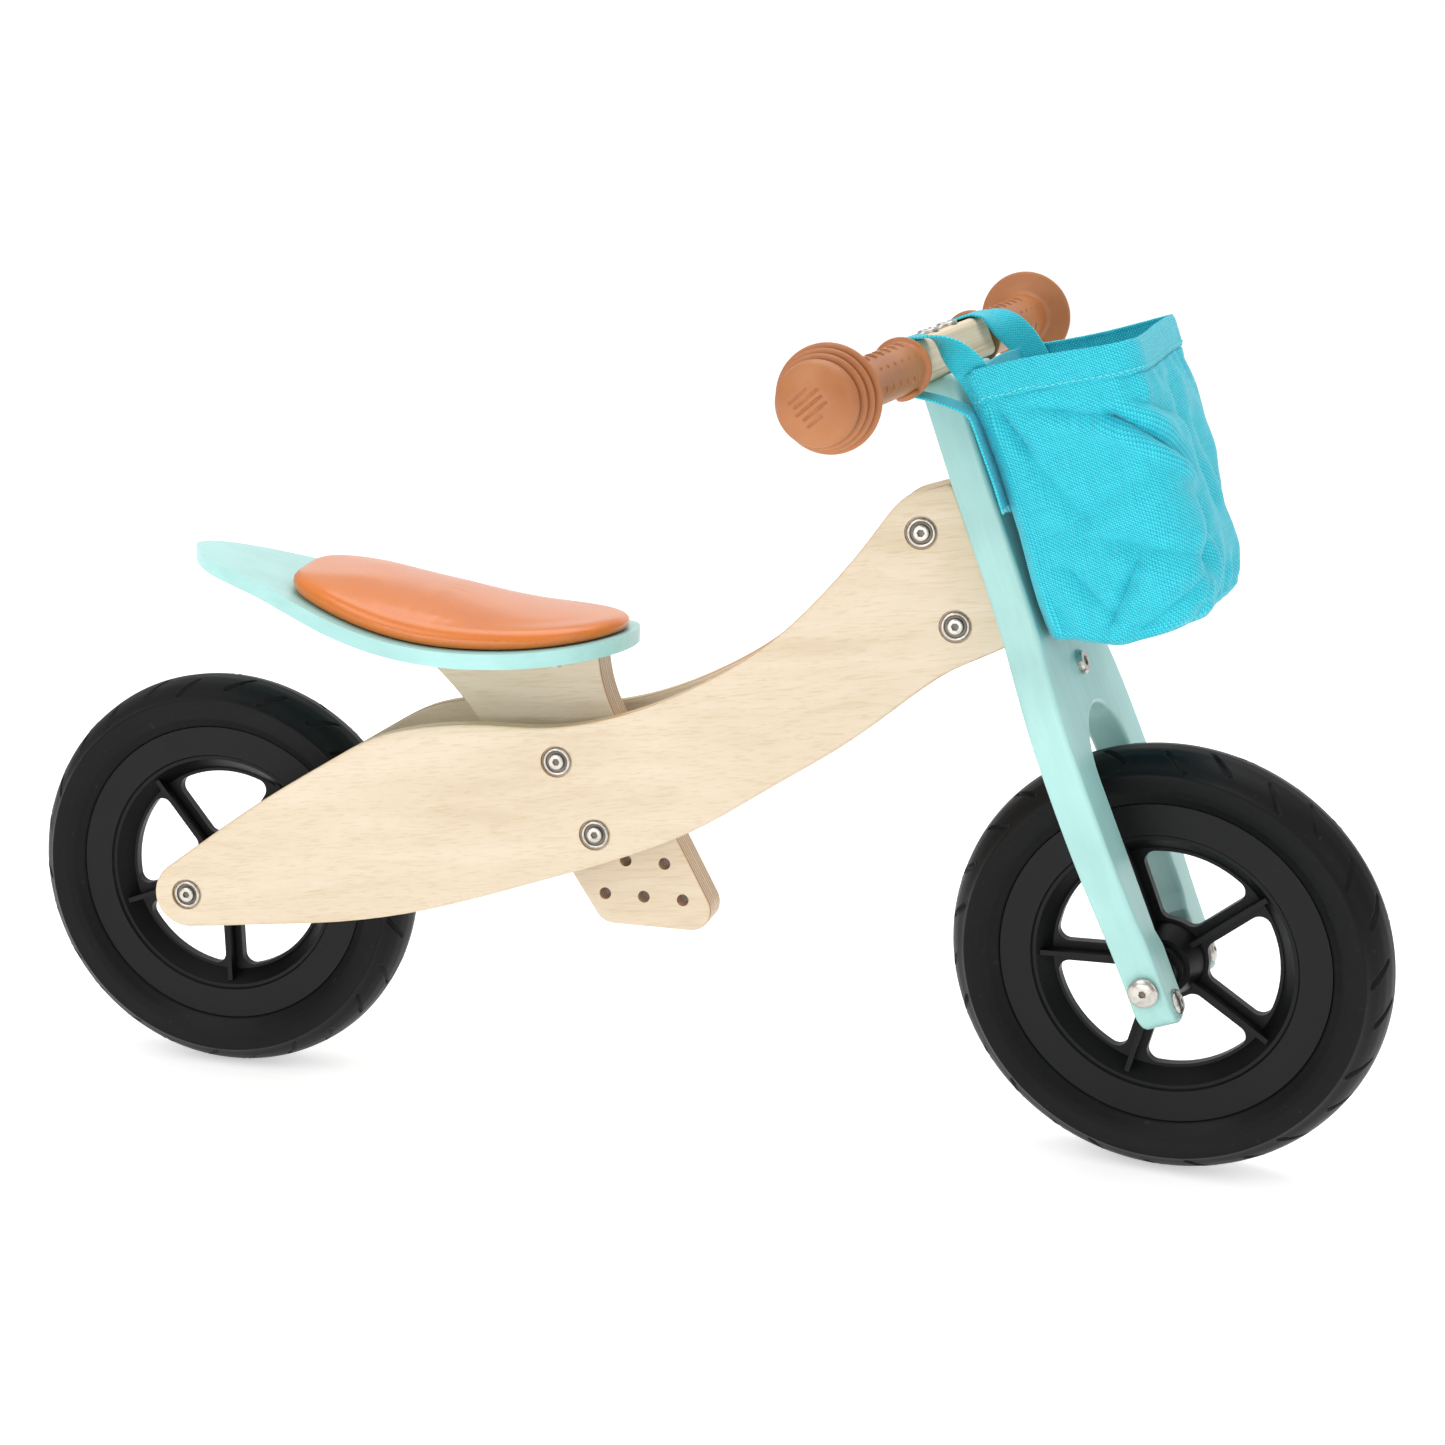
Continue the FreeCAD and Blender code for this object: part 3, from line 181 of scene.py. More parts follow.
class Nodes:
    """A node tree, with short ways to add nodes and join sockets."""

    def __init__(self, tree):
        self.tree = tree
        self.coordinates = tree.nodes.new("ShaderNodeTexCoord")

    def set(self, node, socket, value):
        target = node.inputs[socket]
        if isinstance(value, bpy.types.NodeSocket):
            self.tree.links.new(value, target)
        else:
            target.default_value = value

    def add(self, kind, *values, settings=(), **inputs):
        """A new node's first output. Values go to its inputs in order, the rest by name."""
        node = self.tree.nodes.new("ShaderNode" + kind)
        for name, value in dict(settings).items():
            setattr(node, name, value)
        for socket, value in [*enumerate(values), *inputs.items()]:
            self.set(node, socket, value)
        return node.outputs[0]

    def noise(self, scale, detail=4.0, rough=0.5, warp=0.0, turn=None, source="Object"):
        """Noise over the surface point's coordinates, turned and then stretched by scale."""
        place = self.coordinates.outputs[source]
        if turn:
            place = self.add("Mapping", Vector=place, Rotation=turn)
        stretch = scale if isinstance(scale, tuple) else (scale,) * 3
        place = self.add("Mapping", Vector=place, Scale=stretch)
        return self.add("TexNoise", Vector=place, Scale=1.0, Detail=detail,
                        Roughness=rough, Distortion=warp)

    def ramp(self, value, stops):
        node = self.tree.nodes.new("ShaderNodeValToRGB")
        band = node.color_ramp
        while len(band.elements) < len(stops):
            band.elements.new(0.5)
        for element, (place, colour) in zip(band.elements, stops):
            element.position = place
            element.color = (*colour, 1)
        self.set(node, "Fac", value)
        return node.outputs[0]

    def math(self, operation, *values):
        return self.add("Math", *values, settings={"operation": operation})

    def mix(self, share, first, second, blend="MIX"):
        node = self.tree.nodes.new("ShaderNodeMix")
        node.data_type = "RGBA"
        node.blend_type = blend
        for socket, value in ((0, share), (6, first), (7, second)):
            self.set(node, socket, value)
        return node.outputs[2]

    def split(self, vector):
        node = self.tree.nodes.new("ShaderNodeSeparateXYZ")
        self.set(node, 0, vector)
        return node.outputs

    def bump(self, value, distance, strength=1.0, under=None):
        inputs = {"Height": value, "Distance": distance, "Strength": strength}
        if under is not None:
            inputs["Normal"] = under
        return self.add("Bump", **inputs)


class Material(Nodes):
    """A material around one principled shader, whose plain settings are given by name."""

    def __init__(self, name, **shader):
        self.material = bpy.data.materials.new(name)
        self.material.use_nodes = True
        super().__init__(self.material.node_tree)
        self.shader = self.tree.nodes["Principled BSDF"]
        for socket, value in shader.items():
            self.set(self.shader, socket.replace("_", " "), value)

    def finish(self, colour, rough=None, normal=None):
        for socket, value in (("Base Color", colour), ("Roughness", rough), ("Normal", normal)):
            if value is not None:
                self.set(self.shader, socket, value)
        return self.material


def linear(red, green, blue):
    """A display colour from 0 to 255 as a linear colour."""
    made = []
    for part in (red, green, blue):
        share = part / 255
        made.append(share / 12.92 if share <= 0.04045 else ((share + 0.055) / 1.055) ** 2.4)
    return tuple(made)


def opaque(colour):
    return (*colour, 1)


WHITE = (1, 1, 1)
BIRCH_LIGHT = linear(218, 202, 179)
BIRCH_MID = linear(212, 195, 169)
BIRCH_DARK = linear(203, 182, 153)
PLY_DARK = linear(186, 142, 98)
PLY_LIGHT = linear(226, 194, 152)
MINT = linear(163, 209, 204)
MINT_SEAT = linear(165, 213, 209)
TURQUOISE = linear(16, 199, 217)
# Lit and shaded tones of the turquoise, which the weave paints as highlight on raised threads and
# shade between them.
TURQUOISE_LIGHT = linear(72, 220, 234)
TURQUOISE_DARK = linear(0, 148, 176)
LEATHER = linear(212, 115, 24)
LEATHER_DARK = linear(202, 106, 22)
GRIP = linear(176, 113, 66)
GRIP_DARK = linear(162, 98, 54)
NICKEL = linear(205, 200, 192)
BLACK = linear(10, 10, 11)
TYRE_BLACK = linear(8, 8, 9)
# How far birch grain leans, in radians, and the depth of a dark and a light ply, in metres.
BIRCH_TURN = (0, 0.12, 0)
PLY_PAIR = 0.003
# Turns that bring the texture's Y along the bar, and its Z along the fork.
BAR_TURN = (-0.051, 0, 0.126)
FORK_TURN = (0, 0.384, 0)


def birch_plywood(name, lean):
    """Rotary-cut birch: soft figure along the face and glued layers across the edge.

    lean is how far the faces tilt across per metre forwards, so that layers follow them.
    """
    wood = Material(name, Roughness=0.46, Coat_Weight=0.12, Coat_Roughness=0.3)
    figure = wood.noise((9, 30, 60), 5.0, 0.6, 1.3, BIRCH_TURN)
    broad = wood.noise((4, 9, 18), 3.0, 0.5, 1.8, turn=BIRCH_TURN)
    shade = wood.math("MULTIPLY_ADD", figure, 0.55, wood.math("MULTIPLY", broad, 0.45))
    colour = wood.ramp(shade, [(0.30, BIRCH_DARK), (0.46, BIRCH_MID), (0.62, BIRCH_LIGHT)])
    pores = wood.noise((60, 700, 900), 2.0, 0.6, turn=BIRCH_TURN)
    fleck = wood.ramp(pores, [(0.34, linear(226, 204, 172)), (0.48, WHITE)])
    colour = wood.mix(0.3, colour, fleck, "MULTIPLY")
    x, y, _ = wood.split(wood.coordinates.outputs["Object"])
    across = wood.math("ADD", wood.math("ABSOLUTE", y), wood.math("MULTIPLY", x, lean))
    wander = wood.noise(12, 2.0)
    across = wood.math("ADD", across, wood.math("MULTIPLY", wander, 0.0006))
    layer = wood.math("SINE", wood.math("MULTIPLY", across, 2 * math.pi / PLY_PAIR))
    plies = wood.ramp(wood.math("MULTIPLY_ADD", layer, 0.5, 0.5),
                      [(0.25, PLY_DARK), (0.6, PLY_LIGHT), (0.9, BIRCH_MID)])
    streak = wood.noise((260, 1500, 260), 3.0, 0.6)
    streak = wood.ramp(streak, [(0.35, PLY_DARK), (0.6, WHITE)])
    plies = wood.mix(0.3, plies, streak, "MULTIPLY")
    _, normal_y, _ = wood.split(wood.coordinates.outputs["Normal"])
    flat = wood.math("ABSOLUTE", normal_y)
    on_face = wood.add("MapRange", Value=flat, **{"From Min": 0.55, "From Max": 0.8})
    colour = wood.mix(on_face, plies, colour)
    grain = wood.bump(figure, 0.0004, 0.25)
    grain = wood.bump(pores, 0.0002, 0.25, grain)
    rough = wood.math("MULTIPLY_ADD", pores, 0.12, 0.40)
    return wood.finish(colour, rough, grain)


def bar_wood():
    """Straight-grained hardwood with fine dark lines along the bar."""
    wood = Material("handlebar_wood", Roughness=0.5)
    lines = wood.noise((700, 4, 700), 4.0, 0.65, 0.2, turn=BAR_TURN)
    broad = wood.noise((120, 5, 120), 3.0, 0.5, 0.3, turn=BAR_TURN)
    shade = wood.math("MULTIPLY_ADD", lines, 0.65, wood.math("MULTIPLY", broad, 0.35))
    colour = wood.ramp(shade, [(0.34, linear(186, 154, 116)), (0.48, linear(224, 202, 168)),
                               (0.62, linear(240, 224, 196))])
    return wood.finish(colour, None, wood.bump(lines, 0.0005, 0.6))


def painted_wood(name, colour, along, turn=None):
    """Satin lacquer over wood: a faint wood grain telegraphs through the paint."""
    paint = Material(name, Roughness=0.4, Coat_Weight=0.25, Coat_Roughness=0.25)
    grain = paint.noise(along, 4.0, 0.55, 0.5, turn=turn)
    peel = paint.noise(420, 2.0)
    drift = paint.noise(14, 2.0)
    light = tuple(min(1.0, part * 1.06) for part in colour)
    deep = tuple(part * 0.90 for part in colour)
    shade = paint.ramp(drift, [(0.35, deep), (0.65, light)])
    tint = paint.ramp(grain, [(0.35, (0.86, 0.90, 0.90)), (0.6, WHITE)])
    shade = paint.mix(0.5, shade, tint, "MULTIPLY")
    under = paint.bump(grain, 0.0004, 0.45)
    rough = paint.math("MULTIPLY_ADD", peel, 0.12, 0.34)
    return paint.finish(shade, rough, paint.bump(peel, 0.00012, 0.4, under))


def metal(name, colour, rough):
    """Plated steel with fine turning marks and small scuffs."""
    steel = Material(name, Metallic=1.0)
    marks = steel.noise(900, 3.0, 0.6)
    scuff = steel.noise(220, 4.0, 0.6, 0.6)
    deep = tuple(part * 0.72 for part in colour)
    shade = steel.ramp(scuff, [(0.32, deep), (0.6, colour)])
    roughness = steel.math("MULTIPLY_ADD", scuff, 0.22, rough - 0.06)
    return steel.finish(shade, roughness, steel.bump(marks, 0.00006, 0.5))


def moulded(name, colour, deep, rough, grain=1500, drift=30, speck=None, gloss=0.5):
    """Moulded plastic or rubber: fine spark texture, slow tone drift and dusty specks."""
    skin = Material(name, Roughness=rough, Specular_IOR_Level=gloss)
    fine = skin.noise(grain, 3.0, 0.6)
    slow = skin.noise(drift, 4.0, 0.55)
    shade = skin.ramp(slow, [(0.3, deep), (0.65, colour)])
    if speck:
        dust = skin.noise(260, 2.0, 0.4)
        dust = skin.ramp(dust, [(0.68, (0, 0, 0)), (0.78, WHITE)])
        shade = skin.mix(dust, shade, opaque(speck))
    roughness = skin.math("MULTIPLY_ADD", slow, 0.16, rough - 0.06)
    return skin.finish(shade, roughness, skin.bump(fine, 0.00012, 0.5))


def leather():
    """Smooth coated leather-like cover with a fine pebble grain."""
    skin = Material("seat_leather", Coat_Weight=0.5, Coat_Roughness=0.2)
    cells = skin.add("TexVoronoi", settings={"feature": "DISTANCE_TO_EDGE"}, Scale=900.0,
                     Vector=skin.coordinates.outputs["Object"])
    pebble = skin.math("MINIMUM", cells, 0.12)
    pores = skin.noise(1400, 2.0)
    drift = skin.noise(24, 4.0, 0.55, 0.4)
    shade = skin.ramp(drift, [(0.25, LEATHER_DARK), (0.7, LEATHER)])
    dimple = skin.ramp(pores, [(0.3, linear(190, 150, 120)), (0.5, WHITE)])
    shade = skin.mix(0.25, shade, dimple, "MULTIPLY")
    rough = skin.math("MULTIPLY_ADD", drift, 0.05, 0.34)
    under = skin.bump(pebble, 0.0004, 0.35)
    return skin.finish(shade, rough, skin.bump(pores, 0.0001, 0.3, under))


def woven(name, pitch, light, base, deep):
    """Plain weave over the cloth's own coordinates, which run in metres along its threads. Its
    colour paints shade between the threads and highlight on their raised tops.
    """
    cloth = Material(name, Roughness=0.62, Sheen_Weight=0.25, Sheen_Roughness=0.4)
    u, v, _ = cloth.split(cloth.coordinates.outputs["UV"])
    across = cloth.math("SINE", cloth.math("MULTIPLY", u, math.pi / pitch))
    along = cloth.math("SINE", cloth.math("MULTIPLY", v, math.pi / pitch))
    over = cloth.math("MULTIPLY", across, along)
    bulge = cloth.math("MULTIPLY", cloth.math("ABSOLUTE", across), cloth.math("ABSOLUTE", along))
    height = cloth.math("POWER", bulge, 0.5)
    on_top = cloth.math("MULTIPLY_ADD", over, 0.5, 0.5)
    rib = cloth.math("SINE", cloth.math("MULTIPLY", cloth.math("ADD", u, v), math.pi / pitch))
    lay = cloth.math("MULTIPLY_ADD", rib, 0.22, cloth.math("MULTIPLY_ADD", on_top, 0.3, 0.5))
    raised = cloth.math("MULTIPLY", height, lay)
    slub = cloth.noise((60, 700, 1), 3.0, 0.6, source="UV")
    slub_across = cloth.noise((700, 60, 1), 3.0, 0.6, source="UV")
    thread = cloth.math("MULTIPLY_ADD", cloth.math("ADD", slub, slub_across), 0.3, -0.3)
    fibre = cloth.noise((5000, 5000, 1), 2.0, source="UV")
    # Colour from the thread height is painted shade low down and painted highlight on raised
    # threads; the slubs add real thread tone.
    shade = cloth.ramp(cloth.math("ADD", raised, thread), [(0.1, deep), (0.42, base), (0.8, light)])
    under = cloth.bump(raised, pitch * 0.35, 0.8)
    return cloth.finish(shade, None, cloth.bump(fibre, 0.0001, 0.4, under))


def plain_cloth(name, colour):
    """Twisted thread."""
    thread = Material(name, Roughness=0.8, Sheen_Weight=0.3)
    twist = thread.noise(2500, 3.0)
    deep = tuple(part * 0.7 for part in colour)
    shade = thread.ramp(twist, [(0.35, deep), (0.6, colour)])
    return thread.finish(shade, None, thread.bump(twist, 0.0002, 0.6))


PANEL_LEAN = 0.1
panel_birch = birch_plywood("panel_birch", PANEL_LEAN)
post_birch = birch_plywood("post_birch", 0.0)
mint_fork = painted_wood("mint_fork", MINT, (150, 150, 9), FORK_TURN)
mint_seat = painted_wood("mint_seat", MINT_SEAT, (10, 160, 160))
nickel = metal("nickel", NICKEL, 0.24)
# darker steel painted into the bolt heads' groove and socket as their shade
recess_shade_steel = metal("recess_shade_steel", linear(124, 116, 106), 0.4)
zinc = metal("zinc", linear(165, 165, 162), 0.42)
rim_plastic = moulded("rim_plastic", BLACK, linear(11, 11, 12), 0.4, gloss=0.22)
tyre_rubber = moulded("tyre_rubber", TYRE_BLACK, linear(9, 9, 10), 0.42, 1900, 40,
                      linear(26, 26, 27), 0.17)
grip_rubber = moulded("grip_rubber", GRIP, GRIP_DARK, 0.42, 1100, 28)
seat_leather = leather()
bag_weave = woven("bag_weave", 0.00105, TURQUOISE_LIGHT, TURQUOISE, TURQUOISE_DARK)
strap_weave = woven("strap_weave", 0.00095, TURQUOISE_LIGHT, TURQUOISE, TURQUOISE_DARK)
turquoise_thread = plain_cloth("turquoise_thread", linear(120, 230, 240))
bar_grain = bar_wood()

CAD_LOOKS = {
    panel_birch: ["frame_panel_right", "frame_panel_left", "head_block"],
    post_birch: ["seat_post"],
    bar_grain: ["handlebar"],
    mint_fork: ["fork"],
    mint_seat: ["seat_base"],
    nickel: ["head_bolts", "head_nuts", "seat_clamp_bolts", "seat_clamp_nuts", "rear_axle_bolt",
             "rear_axle_nut", "yoke_bolts", "yoke_nuts", "fork_tip_bolts", "front_axle_bolt",
             "front_axle_nut", "handlebar_bolts", "seat_screws", "seat_bolt_cores",
             "seat_post_washers", "steering_pin", "steering_pin_nut"],
    zinc: ["lower_yoke", "upper_yoke", "rear_bearings", "front_bearings"],
    rim_plastic: ["rear_rim", "front_rim", "seat_spacers", "rear_axle_spacers",
                  "front_axle_spacers", "steering_bushes"],
}


def dress_frame():
    """Materials for the CAD nodes that stay, and a rounded edge on the seat base."""
    for material, names in CAD_LOOKS.items():
        for name in names:
            mesh = nodes[name].data
            mesh.materials.clear()
            mesh.materials.append(material)
    edge = modifier(nodes["seat_base"], "BEVEL", width=0.0022, segments=3, limit_method="ANGLE")
    edge.angle_limit = math.radians(50)


# ---- tyres

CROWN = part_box("rear_tyre")[1].z / MM / 2
SIDEWALL = [(13.2, 93.9), (14.2, 94.1), (15.0, 94.8), (16.6, 97.0), (18.9, 100.0), (21.1, 104.4),
            (22.6, 109.0), (23.2, 112.0)]
SHOULDER = [(22.9, 112.9), (21.2, 114.0), (19.4, 115.8), (16.8, 118.6), (12.6, 121.7), (6.6, 124.1),
            (0.0, CROWN)]
CUTS = 26
TREAD_RUN = 29.0
# Where a cut starts and ends, from the crease towards the crown.
LONG_CUT = (3.6, 17.5)
SHORT_CUT = (9.0, 24.0)
TYRE_COLUMNS = 900
CUT_DEPTH = 1.7
CUT_HALF = 2.0
CUT_SWEEP = 0.9 / CROWN


def resample(points, step):
    """Points along a polyline at an even step."""
    points = np.asarray(points, float)
    lengths = distances(points)
    count = max(2, int(round(lengths[-1] / step)) + 1)
    return points_at(np.linspace(0, lengths[-1], count), lengths, points)


def relaxed(points, passes):
    """Softens the corners of an open polyline and keeps its ends."""
    points = points.copy()
    for _ in range(passes):
        points[1:-1] = (points[:-2] + 2 * points[1:-1] + points[2:]) / 4
    return points


def tyre(name, matrix, body, node, lean):
    """A turned section with slanting shoulder cuts pressed into the tread.

    lean is +1 or -1, the way that the cuts run round the wheel towards the crown.
    """
    wall = relaxed(resample(SIDEWALL, 0.6), 2)
    tread = relaxed(resample(SHOULDER, 0.9), 3)
    half = np.concatenate([wall, tread])
    section = np.concatenate([half, (half * (-1, 1))[::-1][1:]])
    run = np.concatenate([np.zeros(len(wall)), np.linspace(0, TREAD_RUN, len(tread))])
    run = np.concatenate([run, run[::-1][1:]])
    side = np.sign(section[:, 0])
    angles = np.arange(TYRE_COLUMNS) * 2 * math.pi / TYRE_COLUMNS
    turn, along = np.meshgrid(angles, run)
    way = side[:, None]
    pitch = 2 * math.pi / CUTS
    shift = np.where(way < 0, 0.0, pitch / 2)
    slant = lean * turn + shift - along * CUT_SWEEP
    number = np.floor(slant / pitch)
    offset = (slant - (number + 0.5) * pitch) * CROWN * 0.82
    long_cut = np.mod(number, 2) == 0
    first = np.where(long_cut, LONG_CUT[0], SHORT_CUT[0])
    end = np.where(long_cut, LONG_CUT[1], SHORT_CUT[1])
    past = np.maximum(along - end, 0) + np.maximum(first + 1.9 - along, 0)
    taper = 1 - 0.35 * smooth_step(0, 1, (along - first) / (end - first))
    gap = np.sqrt(offset ** 2 + past ** 2)
    depth = CUT_DEPTH * (1 - smooth_step(CUT_HALF * 0.62, CUT_HALF, gap / taper))
    lip = 0.2 * np.exp(-((gap / taper - CUT_HALF - 0.6) / 0.5) ** 2)
    depth = np.where(along > 0.5, depth - lip, 0)
    radius = section[:, 1][:, None] - depth * smooth_step(93, 116, section[:, 1])[:, None]
    inward = 0.55 * smooth_step(6, 22, np.abs(section[:, 0]))[:, None]
    width = section[:, 0][:, None] - way * depth * inward
    points = np.stack([radius * np.cos(turn), width, radius * np.sin(turn)], 2)
    faces = grid_faces(len(section), TYRE_COLUMNS, True)
    last = (len(points) - 1) * TYRE_COLUMNS
    for column in range(TYRE_COLUMNS):
        beside = (column + 1) % TYRE_COLUMNS
        faces.append((last + column, last + beside, beside, column))
    tread = placed(name, points.reshape(-1, 3), faces, matrix, tyre_rubber, body, "black_tyre")
    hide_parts(node)


# ---- grips

GRIP_PROFILE = [
    # Along the bar from its middle, and the radius there.
    (64.3, 10.6), (64.3, 15.6), (64.9, 16.6), (65.8, 17.0), (66.8, 16.7), (67.4, 15.4),
    (68.6, 14.2), (71.0, 13.8), (120.0, 13.6), (172.0, 13.8), (176.6, 14.4), (178.8, 16.5),
    (180.2, 21.0), (181.0, 26.8), (181.7, 27.9), (182.8, 28.0), (183.7, 27.2), (184.1, 25.6),
    (184.4, 22.0), (185.6, 21.6), (186.1, 22.2), (186.5, 24.9), (187.2, 25.9), (188.5, 25.9),
    (189.3, 24.9), (189.7, 22.0), (190.0, 20.2), (191.2, 20.0), (191.6, 20.6), (192.0, 23.0),
    (192.7, 23.9), (194.0, 23.9), (194.8, 22.9), (195.2, 20.0), (195.5, 18.4), (196.7, 18.3),
    (197.1, 19.0), (197.5, 21.0), (198.2, 21.7), (200.2, 21.8), (200.9, 21.3),
]
DOME_START = (200.9, 21.3)
DOME_TIP = 210.0
SLOT_DEPTH = 1.0
SLOTS = [(-8.2, -2.5, 5.5), (-4.4, 0.5, 7.5), (-0.6, -0.5, 8.0), (3.2, 0.5, 7.0), (7.0, -3.0, 4.5)]
SLOT_LEAN = math.radians(-72)
GRIP_TURNS = 128
GRIP_CORE = 13.5
# Rows of ribs and dots: degrees round the tube, how many, and half their size round, along, out.
GRIP_ROWS = [(62, 8, 3.3, 1.0, 1.2), (118, 8, 3.3, 1.0, 1.2), (-30, 8, 3.0, 0.8, 1.0),
             (210, 8, 3.0, 0.8, 1.0), (18, 9, 1.3, 1.3, 0.9), (162, 9, 1.3, 1.3, 0.9)]
ROW_START = 76
ROW_STEP = 11.3


def grip(name, side, node):
    """Flanged grip: turned body, ribs and dots on the tube and slots in the end dome."""
    profile = relaxed(resample(GRIP_PROFILE, 0.5), 1)
    dome = []
    for share in np.linspace(0, 1, 44)[1:]:
        tilt = share * math.pi / 2
        along = DOME_START[0] + (DOME_TIP - DOME_START[0]) * math.sin(tilt) ** 1.15
        dome.append((along, DOME_START[1] * math.cos(tilt) + 1e-4))
    section = np.concatenate([profile, np.array(dome)])
    angles = np.arange(GRIP_TURNS) * 2 * math.pi / GRIP_TURNS
    along = section[:, 0][:, None]
    radius = section[:, 1][:, None]
    x = radius * np.cos(angles)
    z = radius * np.sin(angles)
    lean_x = x * math.cos(SLOT_LEAN) + z * math.sin(SLOT_LEAN)
    lean_z = -x * math.sin(SLOT_LEAN) + z * math.cos(SLOT_LEAN)
    on_dome = (along > DOME_START[0] + 0.5).astype(float)
    sink = np.zeros_like(x)
    for centre, shift, reach in SLOTS:
        past = np.maximum(np.abs(lean_z - shift) - reach, 0)
        gap = np.sqrt((lean_x - centre) ** 2 + past ** 2)
        sink = np.maximum(sink, 1 - smooth_step(0.35, 0.95, gap))
    along = along - sink * on_dome * SLOT_DEPTH
    points = np.stack([x, side * along, z], 2).reshape(-1, 3)
    parts = [(points, grid_faces(len(section), GRIP_TURNS, True))]
    for degrees, count, reach, half, rise in GRIP_ROWS:
        angle = math.radians(degrees)
        out = (math.cos(angle), 0, math.sin(angle))
        around = (-math.sin(angle), 0, math.cos(angle))
        for number in range(count):
            place = side * (ROW_START + number * ROW_STEP)
            spot = (GRIP_CORE * out[0], place, GRIP_CORE * out[2])
            parts.append(bead(spot, (around, (0, 1, 0), out), (reach, half, rise)))
    lug = (0, side * 71, -14.6)
    parts.append(bead(lug, ((1, 0, 0), (0, 1, 0), (0, 0, 1)), (6.5, 7.0, 2.6), 10, 20))
    matrix = STEERED @ Matrix.Translation(BAR_CENTRE * MM)
    rubber = placed(name, *joined(parts), matrix, grip_rubber, "steering", "brown_rubber")
    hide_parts(node)


# ---- seat cushion

CUSHION_CENTRE = (155.0, 0.0)
CROWN_STATIONS = [45, 60, 99, 149, 190, 230, 262]
CROWN_RISE = [14.0, 18.5, 24.0, 23.5, 18.5, 14.0, 9.5]
WALL_STATIONS = [50, 90, 150, 220, 262]
WALL_RISE = [10.0, 12.0, 11.5, 9.5, 8.0]
CUSHION_GAP = 0.4
CUSHION_SIDES = 220
# Inset from the outline, and share of the wall's height, up the side from below.
CUSHION_WALL = [(9.0, 0.02), (4.0, 0.0), (1.4, 0.06), (0.3, 0.25), (0.0, 0.5), (0.5, 0.75),
                (2.2, 0.95), (4.8, 1.08), (8.5, 1.17)]
PUFF_CAP = 1.5
PUFF_FRAMES = 12
PUFF_CLOTH = {"quality": 5, "use_pressure": True, "uniform_pressure_force": 2.0,
              "tension_stiffness": 40, "compression_stiffness": 40}


def cushion():
    """A crowned pad over the seat base, from the plan outline of its CAD solid."""
    base = nodes["seat_base"]
    tree = BVHTree.FromPolygons([v.co for v in base.data.vertices],
                                [p.vertices for p in base.data.polygons])
    flat = [(v.co.x, v.co.y) for v in nodes["seat_cushion"].data.vertices]
    hull = [Vector(flat[i]) for i in geometry.convex_hull_2d(flat)]
    centre = Vector((CUSHION_CENTRE[0] * MM + REAR_AXLE.x, CUSHION_CENTRE[1]))
    rim = []
    for number in range(CUSHION_SIDES):
        angle = 2 * math.pi * number / CUSHION_SIDES
        far = centre + Vector((math.cos(angle), math.sin(angle)))
        for a, b in zip(hull, hull[1:] + hull[:1]):
            hit = geometry.intersect_line_line_2d(centre, far, a, b)
            if hit is not None:
                rim.append(hit)
                break
    rim = np.array(rim) / MM
    rim[:, 0] -= REAR_AXLE.x / MM
    for _ in range(4):
        rim = (np.roll(rim, 1, 0) + 2 * rim + np.roll(rim, -1, 0)) / 4

    def floor_under(x, y):
        start = Vector((x * MM + REAR_AXLE.x, y * MM, 1.0))
        hit = tree.ray_cast(start, Vector((0, 0, -1)))[0]
        return hit.z / MM - REAR_AXLE.z / MM if hit is not None else 0.0

    middle = np.array(CUSHION_CENTRE)
    reach = np.linalg.norm(rim - middle, axis=1)
    rings = []
    for inset, height in CUSHION_WALL:
        spot = middle + (rim - middle) * (1 - inset / reach)[:, None]
        rings.append((spot, height, 0.0))
    last_inset, last_height = CUSHION_WALL[-1]
    start = 1 - last_inset / reach
    for share in np.linspace(0, 1, 30)[1:-1]:
        spot = middle + (rim - middle) * (start * (1 - share))[:, None]
        rings.append((spot, last_height, 1 - (1 - share) ** 2.2))
    points = []
    for spot, height, crown in rings:
        wall = np.interp(spot[:, 0], WALL_STATIONS, WALL_RISE)
        top = np.interp(spot[:, 0], CROWN_STATIONS, CROWN_RISE)
        edge = wall * height
        rise = edge + np.maximum(top - edge, 0) * crown
        ground = np.array([floor_under(x, y) for x, y in spot])
        points.append(np.column_stack([spot, ground + CUSHION_GAP + rise]))
    points = np.concatenate(points)
    faces = grid_faces(len(rings), CUSHION_SIDES, True)
    summit = points[-CUSHION_SIDES:].mean(0)
    bottom = points[:CUSHION_SIDES].mean(0)
    bottom[2] = floor_under(*middle) + CUSHION_GAP
    points = np.concatenate([points, [summit, bottom]])
    top_index = len(points) - 2
    last = (len(rings) - 1) * CUSHION_SIDES
    pairs = [(i, (i + 1) % CUSHION_SIDES) for i in range(CUSHION_SIDES)]
    faces += [(last + i, last + beside, top_index) for i, beside in pairs]
    faces += [(beside, i, top_index + 1) for i, beside in pairs]
    pad = placed("seat_pad", points, faces, AXLE, seat_leather, "seat", "brown_leather")
    modifier(pad, "SMOOTH", factor=0.5, iterations=3)
    apply_modifiers(pad)
    puff(pad)
    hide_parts("seat_cushion")


